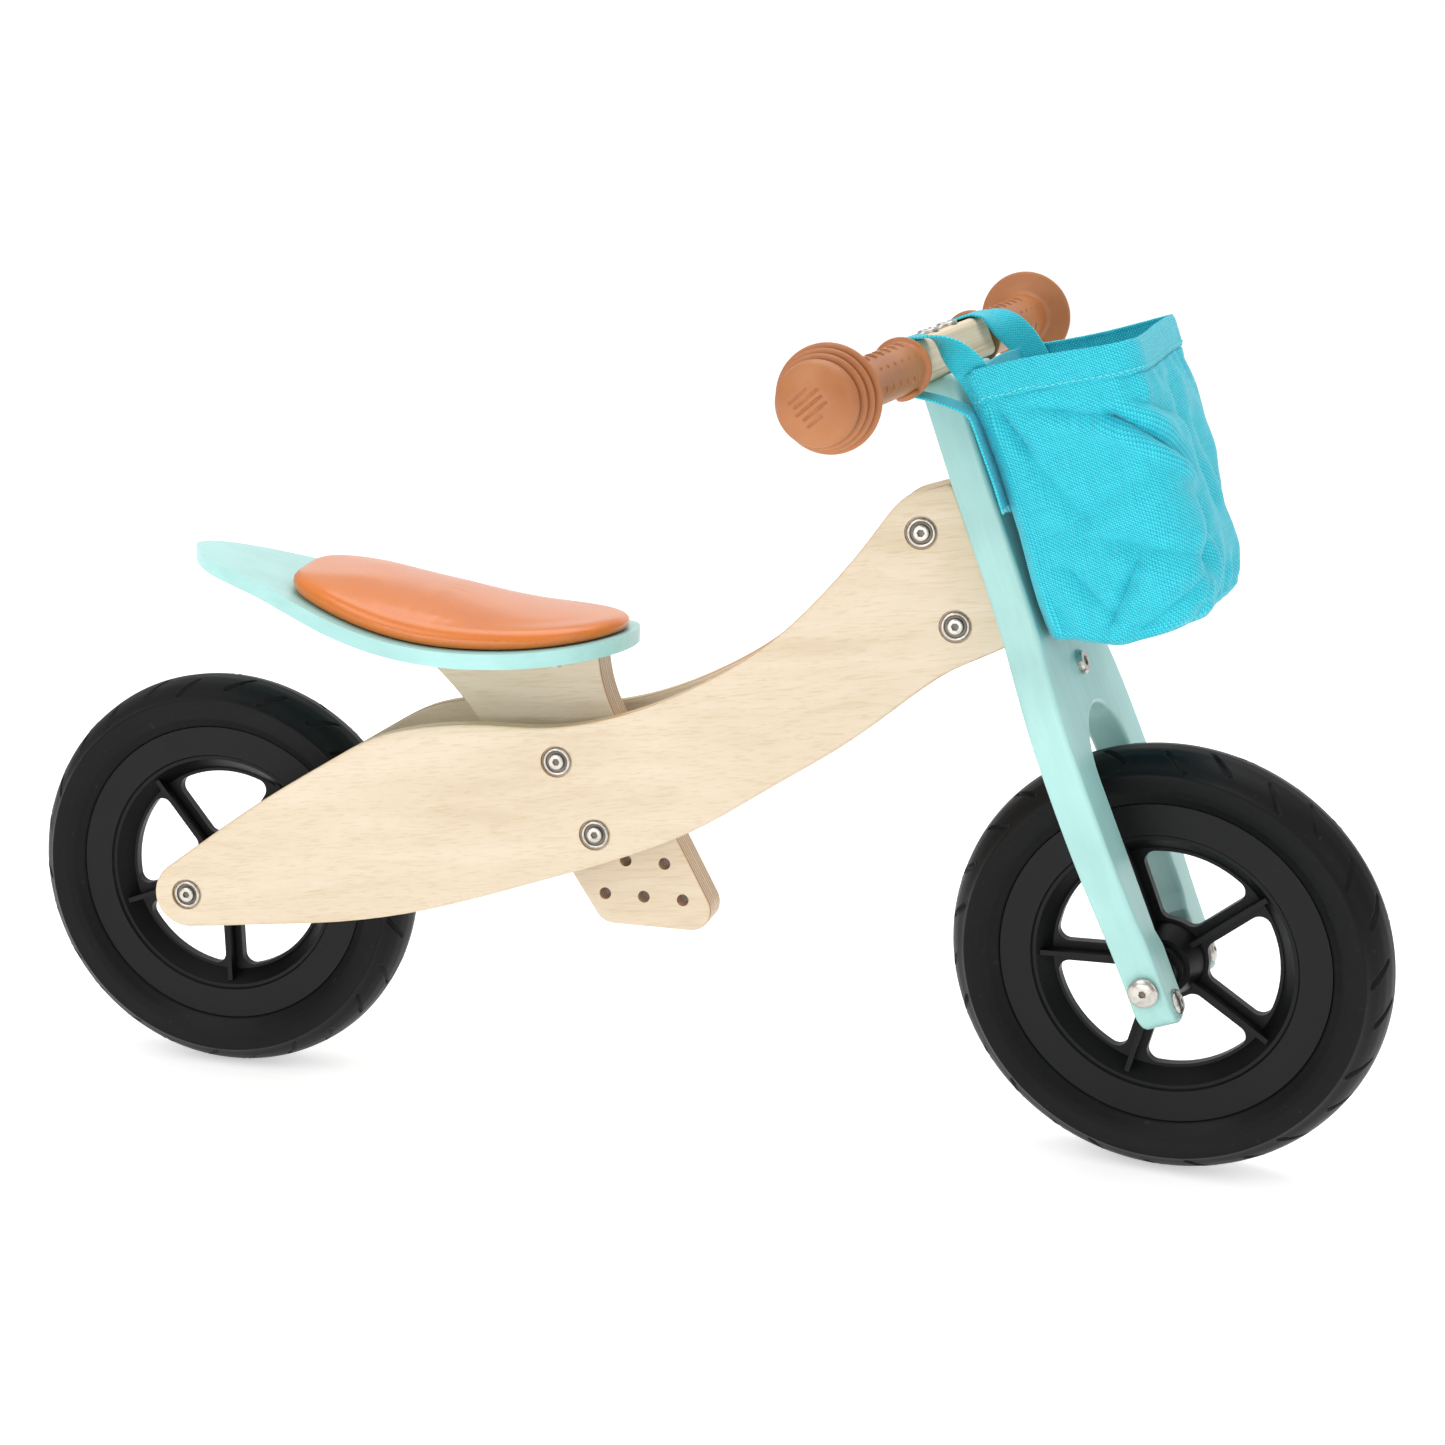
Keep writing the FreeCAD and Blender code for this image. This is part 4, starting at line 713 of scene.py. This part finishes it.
def puff(thing):
    """Lets the cover settle over its filling as pressed cloth, and only outwards and upwards."""
    rest = np.array([v.co for v in thing.data.vertices], float)
    cloth = thing.modifiers.new("Cloth", "CLOTH")
    for setting, value in PUFF_CLOTH.items():
        setattr(cloth.settings, setting, value)
    cloth.settings.effector_weights.gravity = 0.0
    cloth.collision_settings.use_self_collision = False
    scene = bpy.context.scene
    for number in range(1, PUFF_FRAMES + 1):
        scene.frame_set(number)
    graph = bpy.context.evaluated_depsgraph_get()
    moved = thing.evaluated_get(graph).to_mesh()
    now = np.array([v.co for v in moved.vertices], float)
    thing.modifiers.clear()
    scene.frame_set(1)
    shift = now - rest
    length = np.linalg.norm(shift, axis=1)
    limit = PUFF_CAP * MM
    scale = np.where(length > limit, limit / np.maximum(length, 1e-9), 1.0)
    result = rest + shift * scale[:, None]
    result[:, 2] = np.maximum(result[:, 2], rest[:, 2])
    thing.data.vertices.foreach_set("co", result.astype(np.float32).ravel())
    thing.data.update()


# ---- handlebar bag

# At each station, its height and the bag's back, front, half width and corner radius.
BAG_STATIONS = [186, 190, 196, 208, 225, 250, 290, 345]
BAG_BACKS = [15.2, 15.2, 15.5, 16.0, 17.5, 20.0, 22.0, 21.7]
BAG_FRONTS = [92, 96.5, 99.5, 102.5, 104.5, 107.0, 109.5, 111.5]
BAG_HALVES = [46, 50, 52.5, 54.5, 55.5, 56.2, 57.0, 57.5]
BAG_CORNERS = [17, 18, 19, 20, 20, 20, 18, 15]
BAG_SIDES = 320
BAG_ROWS = 130
BAG_FLOOR_RINGS = 25
BAG_BELLY = 2.2
BAG_TOP_BACK = 351.0
BAG_TOP_FRONT = 338.5
BAG_FLOOR = 186.0
HEM = 17.5
BAG_BACK_LIFT = 13.0
FOLD_DEPTH = 1.35
BAG_THICK = 1.5
BAG_AROUND = 334.0
STITCH_STEP = 3.6
CREASES = [
    # start and end as (along the side from its back edge, below the rim), depth, width
    ((22, 27), (56, 40), 2.2, 4.5),
    ((55, 39), (90, 74), 4.6, 4.6),
    ((66, 33), (96, 46), 2.0, 6.0),
    ((3, 19), (10, 44), 3.2, 4.0),
    ((8, 46), (24, 84), 2.0, 6.0),
    ((16, 92), (52, 74), 1.8, 8.0),
    ((40, 104), (78, 122), 2.4, 8.0),
    ((14, 118), (26, 140), 2.4, 5.0),
    ((26, 146), (44, 118), 3.2, 5.0),
    ((44, 150), (70, 134), 2.4, 6.0),
    ((72, 150), (88, 112), 2.6, 6.0),
    ((92, 96), (104, 132), 2.6, 6.0),
    ((104, 34), (122, 96), 2.4, 8.0),
    ((128, 60), (156, 120), 2.4, 9.0),
    ((160, 30), (184, 84), 2.6, 7.0),
    ((210, 50), (244, 96), 3.2, 7.0),
    ((216, 130), (246, 104), 2.4, 7.0),
]


def rounded_section(back, front, half, corner, count):
    """Even points round a rounded rectangle, from the back of the right side forwards."""
    tight = corner * 0.45
    arcs = [
        (front - corner, corner - half, corner, -90), (front - corner, half - corner, corner, 0),
        (back + tight, half - tight, tight, 90), (back + tight, tight - half, tight, 180),
    ]
    path = []
    for x, y, radius, turn in arcs:
        for step in range(13):
            angle = math.radians(turn + step * 7.5)
            path.append((x + radius * math.cos(angle), y + radius * math.sin(angle)))
    return even_loop([path[-1]] + path, count)


def even_loop(path, count):
    """Evenly spaced points along a path that ends where it starts."""
    path = np.asarray(path, float)
    lengths = distances(path)
    return points_at(np.linspace(0, lengths[-1], count + 1)[:-1], lengths, path)


def crease_field(along, below):
    """How far the cloth is pushed in at each place, from the list of creases."""
    push = np.zeros_like(along)
    for start, end, depth, width in CREASES:
        start = np.array(start, float)
        end = np.array(end, float)
        run = end - start
        length = np.linalg.norm(run)
        run = run / length
        across = np.array([-run[1], run[0]])
        t = (along - start[0]) * run[0] + (below - start[1]) * run[1]
        n = (along - start[0]) * across[0] + (below - start[1]) * across[1]
        past = np.maximum(t - length, 0) + np.maximum(-t, 0)
        fade = np.exp(-(past / (width * 1.4)) ** 2)
        valley = np.exp(-np.abs(n / width * 1.3) ** 1.15)
        ridge = 0.6 * np.exp(-((n - width * 1.5) / (width * 0.9)) ** 2)
        ridge += 0.35 * np.exp(-((n + width * 1.5) / (width * 1.1)) ** 2)
        push += depth * fade * (valley - ridge)
    return push


def bag_shape():
    """Grid of points of the inner skin from the rim to the floor edge, with its UV."""
    points = np.zeros((BAG_ROWS, BAG_SIDES, 3))
    u = np.zeros((BAG_ROWS, BAG_SIDES + 1))
    v = np.zeros((BAG_ROWS, BAG_SIDES + 1))
    for row in range(BAG_ROWS):
        share = row / (BAG_ROWS - 1)
        level = BAG_STATIONS[-1] + (BAG_FLOOR - BAG_STATIONS[-1]) * share
        back, front, half, corner = [
            np.interp(level, BAG_STATIONS, values)
            for values in (BAG_BACKS, BAG_FRONTS, BAG_HALVES, BAG_CORNERS)
        ]
        loop = rounded_section(back, front, half, corner, BAG_SIDES)
        rim = BAG_TOP_BACK + (BAG_TOP_FRONT - BAG_TOP_BACK) * (loop[:, 0] - back) / (front - back)
        foot = BAG_FLOOR + BAG_BACK_LIFT * smooth_step(56, 16, loop[:, 0])
        height = rim + (foot - rim) * share
        points[row, :, :2] = loop
        points[row, :, 2] = height
        u[row] = np.arange(BAG_SIDES + 1) / BAG_SIDES * BAG_AROUND * MM
        v[row, :-1] = height * MM
        v[row, -1] = v[row, 0]
    return points, u, v


def soften_bag(points, u):
    """Creases, hem, puckers and a bellied, drooping body for the plain skin."""
    rim = points[0, :, 2]
    below = rim[None, :] - points[:, :, 2]
    along = u[:, :-1] / MM
    outward = np.roll(points, -1, 1) - np.roll(points, 1, 1)
    outward = np.stack([outward[:, :, 1], -outward[:, :, 0]], 2)
    outward /= np.maximum(np.linalg.norm(outward, axis=2, keepdims=True), 1e-6)
    body = smooth_step(HEM, HEM + 14, below)
    push = crease_field(along, below) * body * FOLD_DEPTH
    puckers = np.sin(along * 2 * math.pi / 15 + 1.3 * np.sin(along / 11)) * 0.7
    gathered = smooth_step(HEM - 2, HEM + 3, below) * (1 - smooth_step(HEM + 6, HEM + 30, below))
    push += puckers * gathered
    push -= 0.9 * (1 - smooth_step(HEM - 1.2, HEM + 0.3, below))
    push += 0.7 * np.exp(-((below - HEM) / 0.9) ** 2)
    push += 0.8 * np.exp(-(below / 1.6) ** 2)
    length = below[-1]
    floor_gap = length[None, :] - below
    push -= 1.2 * np.exp(-((floor_gap - 3) / 2.2) ** 2)
    foot_waves = np.sin(along * 2 * math.pi / 19 + 2 * np.sin(along / 17)) * 1.6
    push += foot_waves * np.exp(-((floor_gap - 12) / 11) ** 2)
    for row in range(len(points)):
        for column in range(BAG_SIDES):
            spot = Vector((along[row, column] * 0.028, below[row, column] * 0.028, 3.7))
            soft = noise.noise(spot) * 2.4 + noise.noise(spot * 2.6) * 1.1
            turn = 2 * math.pi * column / BAG_SIDES
            wrap = 0.5 - 0.5 * math.cos(turn)
            push[row, column] += soft * body[row, column] * min(1.0, wrap * 6)
    at_back = smooth_step(7, 3, points[:, :, 0] - points[:, :, 0].min(1)[:, None])
    push = push * (1 - at_back) + np.maximum(push, 0) * at_back * 0.6
    belly = BAG_BELLY * np.sin(np.pi * np.clip((below - HEM) / (length[None, :] - HEM), 0, 1))
    push -= belly * (1 - at_back)
    points[:, :, :2] -= outward * push[:, :, None]
    mouth_wave = np.sin(along[0] * 2 * math.pi / 120 + 0.6) * 1.3
    points[:, :, 2] += mouth_wave * np.exp(-(below / 40) ** 2)
    points[:, :, 0] = np.maximum(points[:, :, 0], BAG_BACKS[0] - 0.4)
    return points, outward


def bag():
    """The sewn bag: its wall and floor as one thick sheet, with a stitched hem."""
    points, u, v = bag_shape()
    points, outward = soften_bag(points, u)
    grid, wide, tall = [points], [u], [v]
    edge = points[-1]
    middle = edge.mean(0)
    for share in np.linspace(0, 1, BAG_FLOOR_RINGS + 1)[1:]:
        ring = edge + (middle - edge) * share
        sag = 3.2 * math.sin(math.pi * min(share * 1.2, 1) / 2) * (1 - 0.5 * share)
        ring[:, 2] -= sag - 1.5 * np.sin(ring[:, 0] / 9) * share * (1 - share) * 2
        grid.append(ring[None])
        closed = np.concatenate([ring, ring[:1]])[None] * MM
        wide.append(closed[:, :, 0])
        tall.append(closed[:, :, 1])
    grid, wide, tall = [np.concatenate(rows) for rows in (grid, wide, tall)]
    faces = [face[::-1] for face in grid_faces(len(grid), BAG_SIDES, True)]
    uv = grid_uv(wide, tall)
    uv = [corner for start in range(0, len(uv), 4) for corner in uv[start:start + 4][::-1]]
    sack = placed("bag_body", grid.reshape(-1, 3), faces, STEERED, bag_weave, "steering",
                  "turquoise_fabric", uv)
    modifier(sack, "SOLIDIFY", thickness=BAG_THICK * MM, offset=1.0, use_even_offset=False)
    apply_modifiers(sack)
    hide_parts("bag")
    stitch_line(points, outward)


def stitch_line(points, outward):
    """Lock stitches round the foot of the hem."""
    parts = []
    loop = []
    for column in range(BAG_SIDES):
        below = points[0, column, 2] - points[:, column, 2]
        row = int(np.argmin(np.abs(below - HEM + 1.8)))
        spot = points[row, column] + np.append(outward[row, column], 0) * (BAG_THICK + 0.1)
        loop.append(spot)
    closed = np.array(loop + loop[:1])
    lengths = distances(closed)
    count = int(lengths[-1] / STITCH_STEP)
    for number in range(count):
        place = lengths[-1] * number / count
        spot = points_at(place, lengths, closed)
        run = Vector(points_at(min(place + 1, lengths[-1]), lengths, closed) - spot)
        run = run.normalized() if run.length > 1e-6 else Vector((1, 0, 0))
        side = Vector((0, 0, 1)).cross(run).normalized()
        parts.append(bead(spot, (run, side, run.cross(side)), (1.2, 0.5, 0.5), 4, 6))
    placed("bag_stitches", *joined(parts), STEERED, turquoise_thread, "steering",
           "turquoise_fabric")


# ---- bag straps

STRAP_WIDE = 18.0
STRAP_THICK = 1.3
# Ahead, out from the middle, up, and how far the webbing is turned to lie along the bag's side.
STRAP_PATH = [
    (30.0, 53.2, 322, 1.0), (29.5, 53.6, 334, 1.0), (28.0, 54.4, 345, 1.0), (25.5, 55.6, 354, 0.97),
    (21.5, 56.0, 362, 0.82), (16.5, 55.6, 369.5, 0.52), (11.5, 55.2, 375.2, 0.2),
    (4.0, 55.0, 378.6, 0.0), (-6.0, 55.0, 379.0, 0.0), (-15.0, 55.0, 378.6, 0.0),
    (-19.4, 55.0, 375.6, 0.0), (-20.0, 55.0, 366.0, 0.0), (-19.4, 55.0, 355.6, 0.0),
    (-15.5, 55.0, 351.6, 0.0), (-6.0, 55.0, 348.4, 0.0), (4.0, 55.6, 342.5, 0.0),
    (14.5, 56.2, 334.5, 0.0), (20.0, 56.6, 328.5, 0.0), (20.2, 56.6, 321.0, 0.0),
    (19.9, 56.4, 306.0, 0.0), (19.6, 56.0, 290.0, 0.0), (18.6, 55.6, 276.0, 0.0),
]


def strap(name, side, node):
    """Webbing from inside the bag's side, over the bar, round below it and down the back."""
    path = relaxed(resample(STRAP_PATH, 1.2), 5)
    turned = path[:, 3] * math.pi / 2
    path = path[:, :3] * (1, side, 1)
    run = distances(path)
    tangent = np.gradient(path, axis=0)
    tangent /= np.linalg.norm(tangent, axis=1, keepdims=True)
    beside = np.stack([np.sin(turned), side * np.cos(turned), np.zeros(len(path))], 1)
    beside -= tangent * np.sum(beside * tangent, 1, keepdims=True)
    beside /= np.linalg.norm(beside, axis=1, keepdims=True)
    normal = np.cross(tangent, beside)
    across = np.linspace(-STRAP_WIDE / 2, STRAP_WIDE / 2, 19)
    lift = 0.3 * np.cos(across / STRAP_WIDE * 2 * math.pi)
    sway = 0.7 * np.sin(run / 21.0 + (1.1 if side > 0 else 0.0)) * smooth_step(90, 130, run)
    middle = path + beside * sway[:, None]
    points = middle[:, None, :] + beside[:, None, :] * across[None, :, None]
    points = points + normal[:, None, :] * lift[None, :, None]
    u = np.repeat(across[None, :], len(path), 0) * MM
    v = np.repeat(run[:, None], len(across), 1) * MM
    web = placed(name, points.reshape(-1, 3), grid_faces(len(path), len(across), False), STEERED,
                 strap_weave, "steering", "turquoise_webbing", grid_uv(u, v))
    modifier(web, "SOLIDIFY", thickness=STRAP_THICK * MM, offset=0.0)
    modifier(web, "BEVEL", width=0.0003, segments=2)
    apply_modifiers(web)
    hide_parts(node)
    frayed_end(name + "_fray", middle, side)


def frayed_end(name, path, side):
    """Loose threads at the cut end of the webbing."""
    parts = []
    end = path[-1]
    for number in range(26):
        place = (number + 0.5) / 26 - 0.5
        seed = Vector((number * 1.7, side * 3.1, 0.4))
        bend = noise.noise(seed) * 2.2
        reach = 3.2 + noise.noise(seed * 1.9) * 2.6
        start = Vector((end[0], end[1] + place * STRAP_WIDE, end[2] + 0.6))
        tip = start + Vector((noise.noise(seed * 2.3) * 1.0, bend, -reach))
        run = (tip - start).normalized()
        beside = run.cross(Vector((1, 0, 0))).normalized()
        axes = (beside, run.cross(beside), run)
        parts.append(bead((start + tip) / 2, axes, (0.32, 0.32, (tip - start).length / 2), 5, 6))
    placed(name, *joined(parts), STEERED, turquoise_thread, "steering", "turquoise_webbing")


# ---- bolt heads

HEAD_RISE = 3.5
HEAD_PROFILE = [
    # height over the seat, radius, and the look of the band up to the next point, where 1 paints it
    # darker as shade in the groove
    (-9.0, 3.0, 0), (0.0, 3.0, 0), (0.0, 8.1, 0), (0.5, 8.3, 0), (1.5, 8.3, 0), (2.1, 8.0, 0),
    (2.4, 7.5, 0), (2.4, 7.0, 0), (2.0, 6.5, 1), (1.1, 6.25, 1), (1.0, 5.9, 1), (1.0, 4.9, 1),
    (1.3, 4.7, 0), (2.7, 4.6, 0), (3.25, 4.3, 0), (3.45, 3.8, 0), (3.5, 2.9, 0),
]
PLAIN_PROFILE = [
    (-9.0, 3.0, 0), (0.0, 3.0, 0), (0.0, 8.2, 0), (0.3, 8.4, 0), (1.2, 8.4, 0), (1.7, 8.1, 0),
    (2.3, 7.2, 0), (2.9, 5.9, 0), (3.3, 4.4, 0), (3.5, 3.2, 0), (3.5, 2.9, 0),
]
SOCKET_FLATS = 1.8
SOCKET_DEEP = 1.6
HEAD_TURNS = 60


def islands(node, matrix):
    """The millimetre boxes of a node's separate solids, in a working frame."""
    mesh = nodes[node].data
    back = matrix.inverted()
    spots = np.array([back @ v.co for v in mesh.vertices]) / MM
    owner = list(range(len(spots)))

    def root(index):
        while owner[index] != index:
            owner[index] = owner[owner[index]]
            index = owner[index]
        return index

    seen = {}
    for index, spot in enumerate(spots):
        key = tuple(np.round(spot, 3))
        owner[root(index)] = root(seen.setdefault(key, index))
    for polygon in mesh.polygons:
        first = root(polygon.vertices[0])
        for other in polygon.vertices[1:]:
            owner[root(other)] = first
    groups = {}
    for index in range(len(spots)):
        groups.setdefault(root(index), []).append(index)
    return [(spots[group].min(0), spots[group].max(0)) for group in groups.values()]


def bolt_heads(node, matrix, axis, side, scale, body, outline=HEAD_PROFILE):
    """Turned heads with a bright rim, a groove and a hexagon socket, for a node's bolts. The groove
    and the socket are painted darker as their shade.
    """
    points = []
    faces = []
    looks = []
    turns = HEAD_TURNS
    angles = np.arange(turns) * 2 * math.pi / turns
    swing = np.mod(angles, math.pi / 3) - math.pi / 6
    flats = SOCKET_FLATS / np.cos(swing)
    profile = [(h, np.full(turns, r), look) for h, r, look in outline]
    floor = HEAD_RISE - SOCKET_DEEP
    profile += [(HEAD_RISE, flats + 0.35, 0), (HEAD_RISE - 0.3, flats, 1), (floor, flats, 1),
                (floor - 0.3, flats * 0.05, 1)]
    for low, high in sorted(islands(node, matrix), key=lambda box: tuple(box[0])):
        centre = (low + high) / 2
        tip = high[axis] if side > 0 else low[axis]
        seat = tip - side * HEAD_RISE
        one, two = [k for k in range(3) if k != axis]
        start = len(points)
        for rise, radius, _ in profile:
            for turn, reach in zip(angles, radius):
                spot = np.zeros(3)
                spot[axis] = seat + side * rise
                spot[one] = centre[one] + reach * scale * math.cos(turn)
                spot[two] = centre[two] + reach * scale * math.sin(turn)
                points.append(tuple(spot))
        made = grid_faces(len(profile), turns, True, start)
        faces += made
        looks += [profile[index // turns][2] for index in range(len(made))]
        last = start + (len(profile) - 1) * turns
        faces += [tuple(range(start, start + turns)), tuple(range(last, last + turns))]
        looks += [0, 1]
    thing = placed(node + "_turned", points, faces, matrix, nickel, body, "nickel_steel")
    # the groove and socket faces take the darker steel as painted shade
    thing.data.materials.append(recess_shade_steel)
    thing.data.polygons.foreach_set("material_index", looks)
    modifier(thing, "EDGE_SPLIT", split_angle=math.radians(40))
    apply_modifiers(thing)
    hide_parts(node)


# ---- stage, light and camera

FLOOR_SIDES = 64
FLOOR_REACH = 12.0
# How bright the surroundings are for the bike, from straight below to straight above.
SKY = [(0.0, 0.36), (0.48, 0.32), (0.56, 0.42), (0.72, 0.68), (1.0, 0.82)]
LIGHTS = [
    # name, place, what it points at, width and height, power
    ("key", (-1.3, -1.9, 2.1), (0, 0, 0.2), (1.6, 1.6), 21),
    ("fill", (2.2, -1.4, 1.2), (0, 0, 0.2), (1.2, 1.6), 7),
    ("top", (0.2, 0.4, 2.3), (0, 0, 0.2), (2.2, 1.4), 22),
    ("strip", (-0.4, -2.2, 0.4), (-0.1, 0, 0.2), (1.8, 0.3), 9),
    ("back", (0, 3.0, 1.0), (0, 0, 0.3), (4.0, 1.6), 12),
]
EYE = Vector((0.3949, -1.4468, 0.5781))
EYE_AZIMUTH = math.radians(16.87)
EYE_ELEVATION = math.radians(12.06)
EYE_ROLL = math.radians(0.34)
LENS = 64.8
SHIFT = (0.0805, -0.0211)


def stage():
    """A plain pale floor."""
    floor = Material("studio_floor", Roughness=0.9, Emission_Color=opaque(WHITE),
                     Emission_Strength=0.5)
    drift = floor.noise(3, 2.0)
    paper = floor.ramp(drift, [(0.3, (0.80, 0.80, 0.80)), (0.7, (0.82, 0.82, 0.82))])
    floor.finish(paper)
    turns = [2 * math.pi * side / FLOOR_SIDES for side in range(FLOOR_SIDES)]
    points = [(FLOOR_REACH * math.cos(turn), FLOOR_REACH * math.sin(turn), 0.0) for turn in turns]
    mesh = bpy.data.meshes.new("studio")
    mesh.from_pydata(points, [], [tuple(range(FLOOR_SIDES))])
    mesh.materials.append(floor.material)
    ground = bpy.data.objects.new("studio", mesh)
    bpy.context.scene.collection.objects.link(ground)


def area_light(name, place, target, size, power):
    light = bpy.data.lights.new(name, "AREA")
    light.shape = "RECTANGLE"
    light.size, light.size_y = size
    light.energy = power
    lamp = bpy.data.objects.new(name, light)
    lamp.location = place
    lamp.visible_camera = False
    lamp.rotation_mode = "QUATERNION"
    lamp.rotation_quaternion = (Vector(target) - Vector(place)).to_track_quat("-Z", "Y")
    bpy.context.scene.collection.objects.link(lamp)


def lights():
    """A white studio: the lens sees plain white, and the bike sees soft boxes and darker gaps."""
    world = bpy.data.worlds.new("studio_air")
    world.use_nodes = True
    air = Nodes(world.node_tree)
    seen = air.add("Background", Color=opaque(WHITE), Strength=1.0)
    height = air.split(air.coordinates.outputs["Generated"])[2]
    share = air.math("MULTIPLY_ADD", height, 0.5, 0.5)
    lit = air.add("Background", Color=air.ramp(share, [(at, (level,) * 3) for at, level in SKY]))
    chosen = air.add("MixShader", air.add("LightPath"), lit, seen)
    air.set(air.tree.nodes["World Output"], "Surface", chosen)
    bpy.context.scene.world = world
    bpy.context.scene.view_settings.view_transform = "Standard"
    for lamp in LIGHTS:
        area_light(*lamp)


def camera():
    """The camera at EYE, turned round its own view by EYE_ROLL."""
    level = math.cos(EYE_ELEVATION)
    back = Vector((math.sin(EYE_AZIMUTH) * level, -math.cos(EYE_AZIMUTH) * level,
                   math.sin(EYE_ELEVATION)))
    right = Vector((0, 0, 1)).cross(back).normalized()
    up = back.cross(right)
    rolled = right * math.cos(EYE_ROLL) + up * math.sin(EYE_ROLL)
    data = bpy.data.cameras.new("camera")
    data.sensor_width = 36.0
    data.lens = LENS
    data.shift_x, data.shift_y = SHIFT
    eye = bpy.data.objects.new("camera", data)
    eye.matrix_world = frame_matrix(rolled, back.cross(rolled), back, EYE)
    bpy.context.scene.collection.objects.link(eye)
    bpy.context.scene.camera = eye


# ---- everything in order

camera()
dress_frame()
for bolts, way in (("head_bolts", -1), ("head_nuts", 1), ("seat_clamp_bolts", -1),
                   ("seat_clamp_nuts", 1), ("rear_axle_bolt", -1), ("rear_axle_nut", 1)):
    bolt_heads(bolts, AXLE, 1, way, 1.0, "frame")
bolt_heads("front_axle_bolt", STEERED, 1, -1, 1.0, "steering", PLAIN_PROFILE)
bolt_heads("front_axle_nut", STEERED, 1, 1, 1.0, "steering", PLAIN_PROFILE)
bolt_heads("fork_tip_bolts", STEERED, 0, 1, 0.85, "steering", PLAIN_PROFILE)
bolt_heads("handlebar_bolts", STEERED, 2, 1, 0.9, "steering")
tyre("rear_tyre_tread", AXLE, "rear_wheel", "rear_tyre", -1)
tyre("front_tyre_tread", STEERED, "front_wheel", "front_tyre", 1)
grip("right_grip_rubber", -1, "right_grip")
grip("left_grip_rubber", 1, "left_grip")
cushion()
strap("bag_strap_right_web", -1, "bag_strap_right")
strap("bag_strap_left_web", 1, "bag_strap_left")
bag()
stage()
lights()
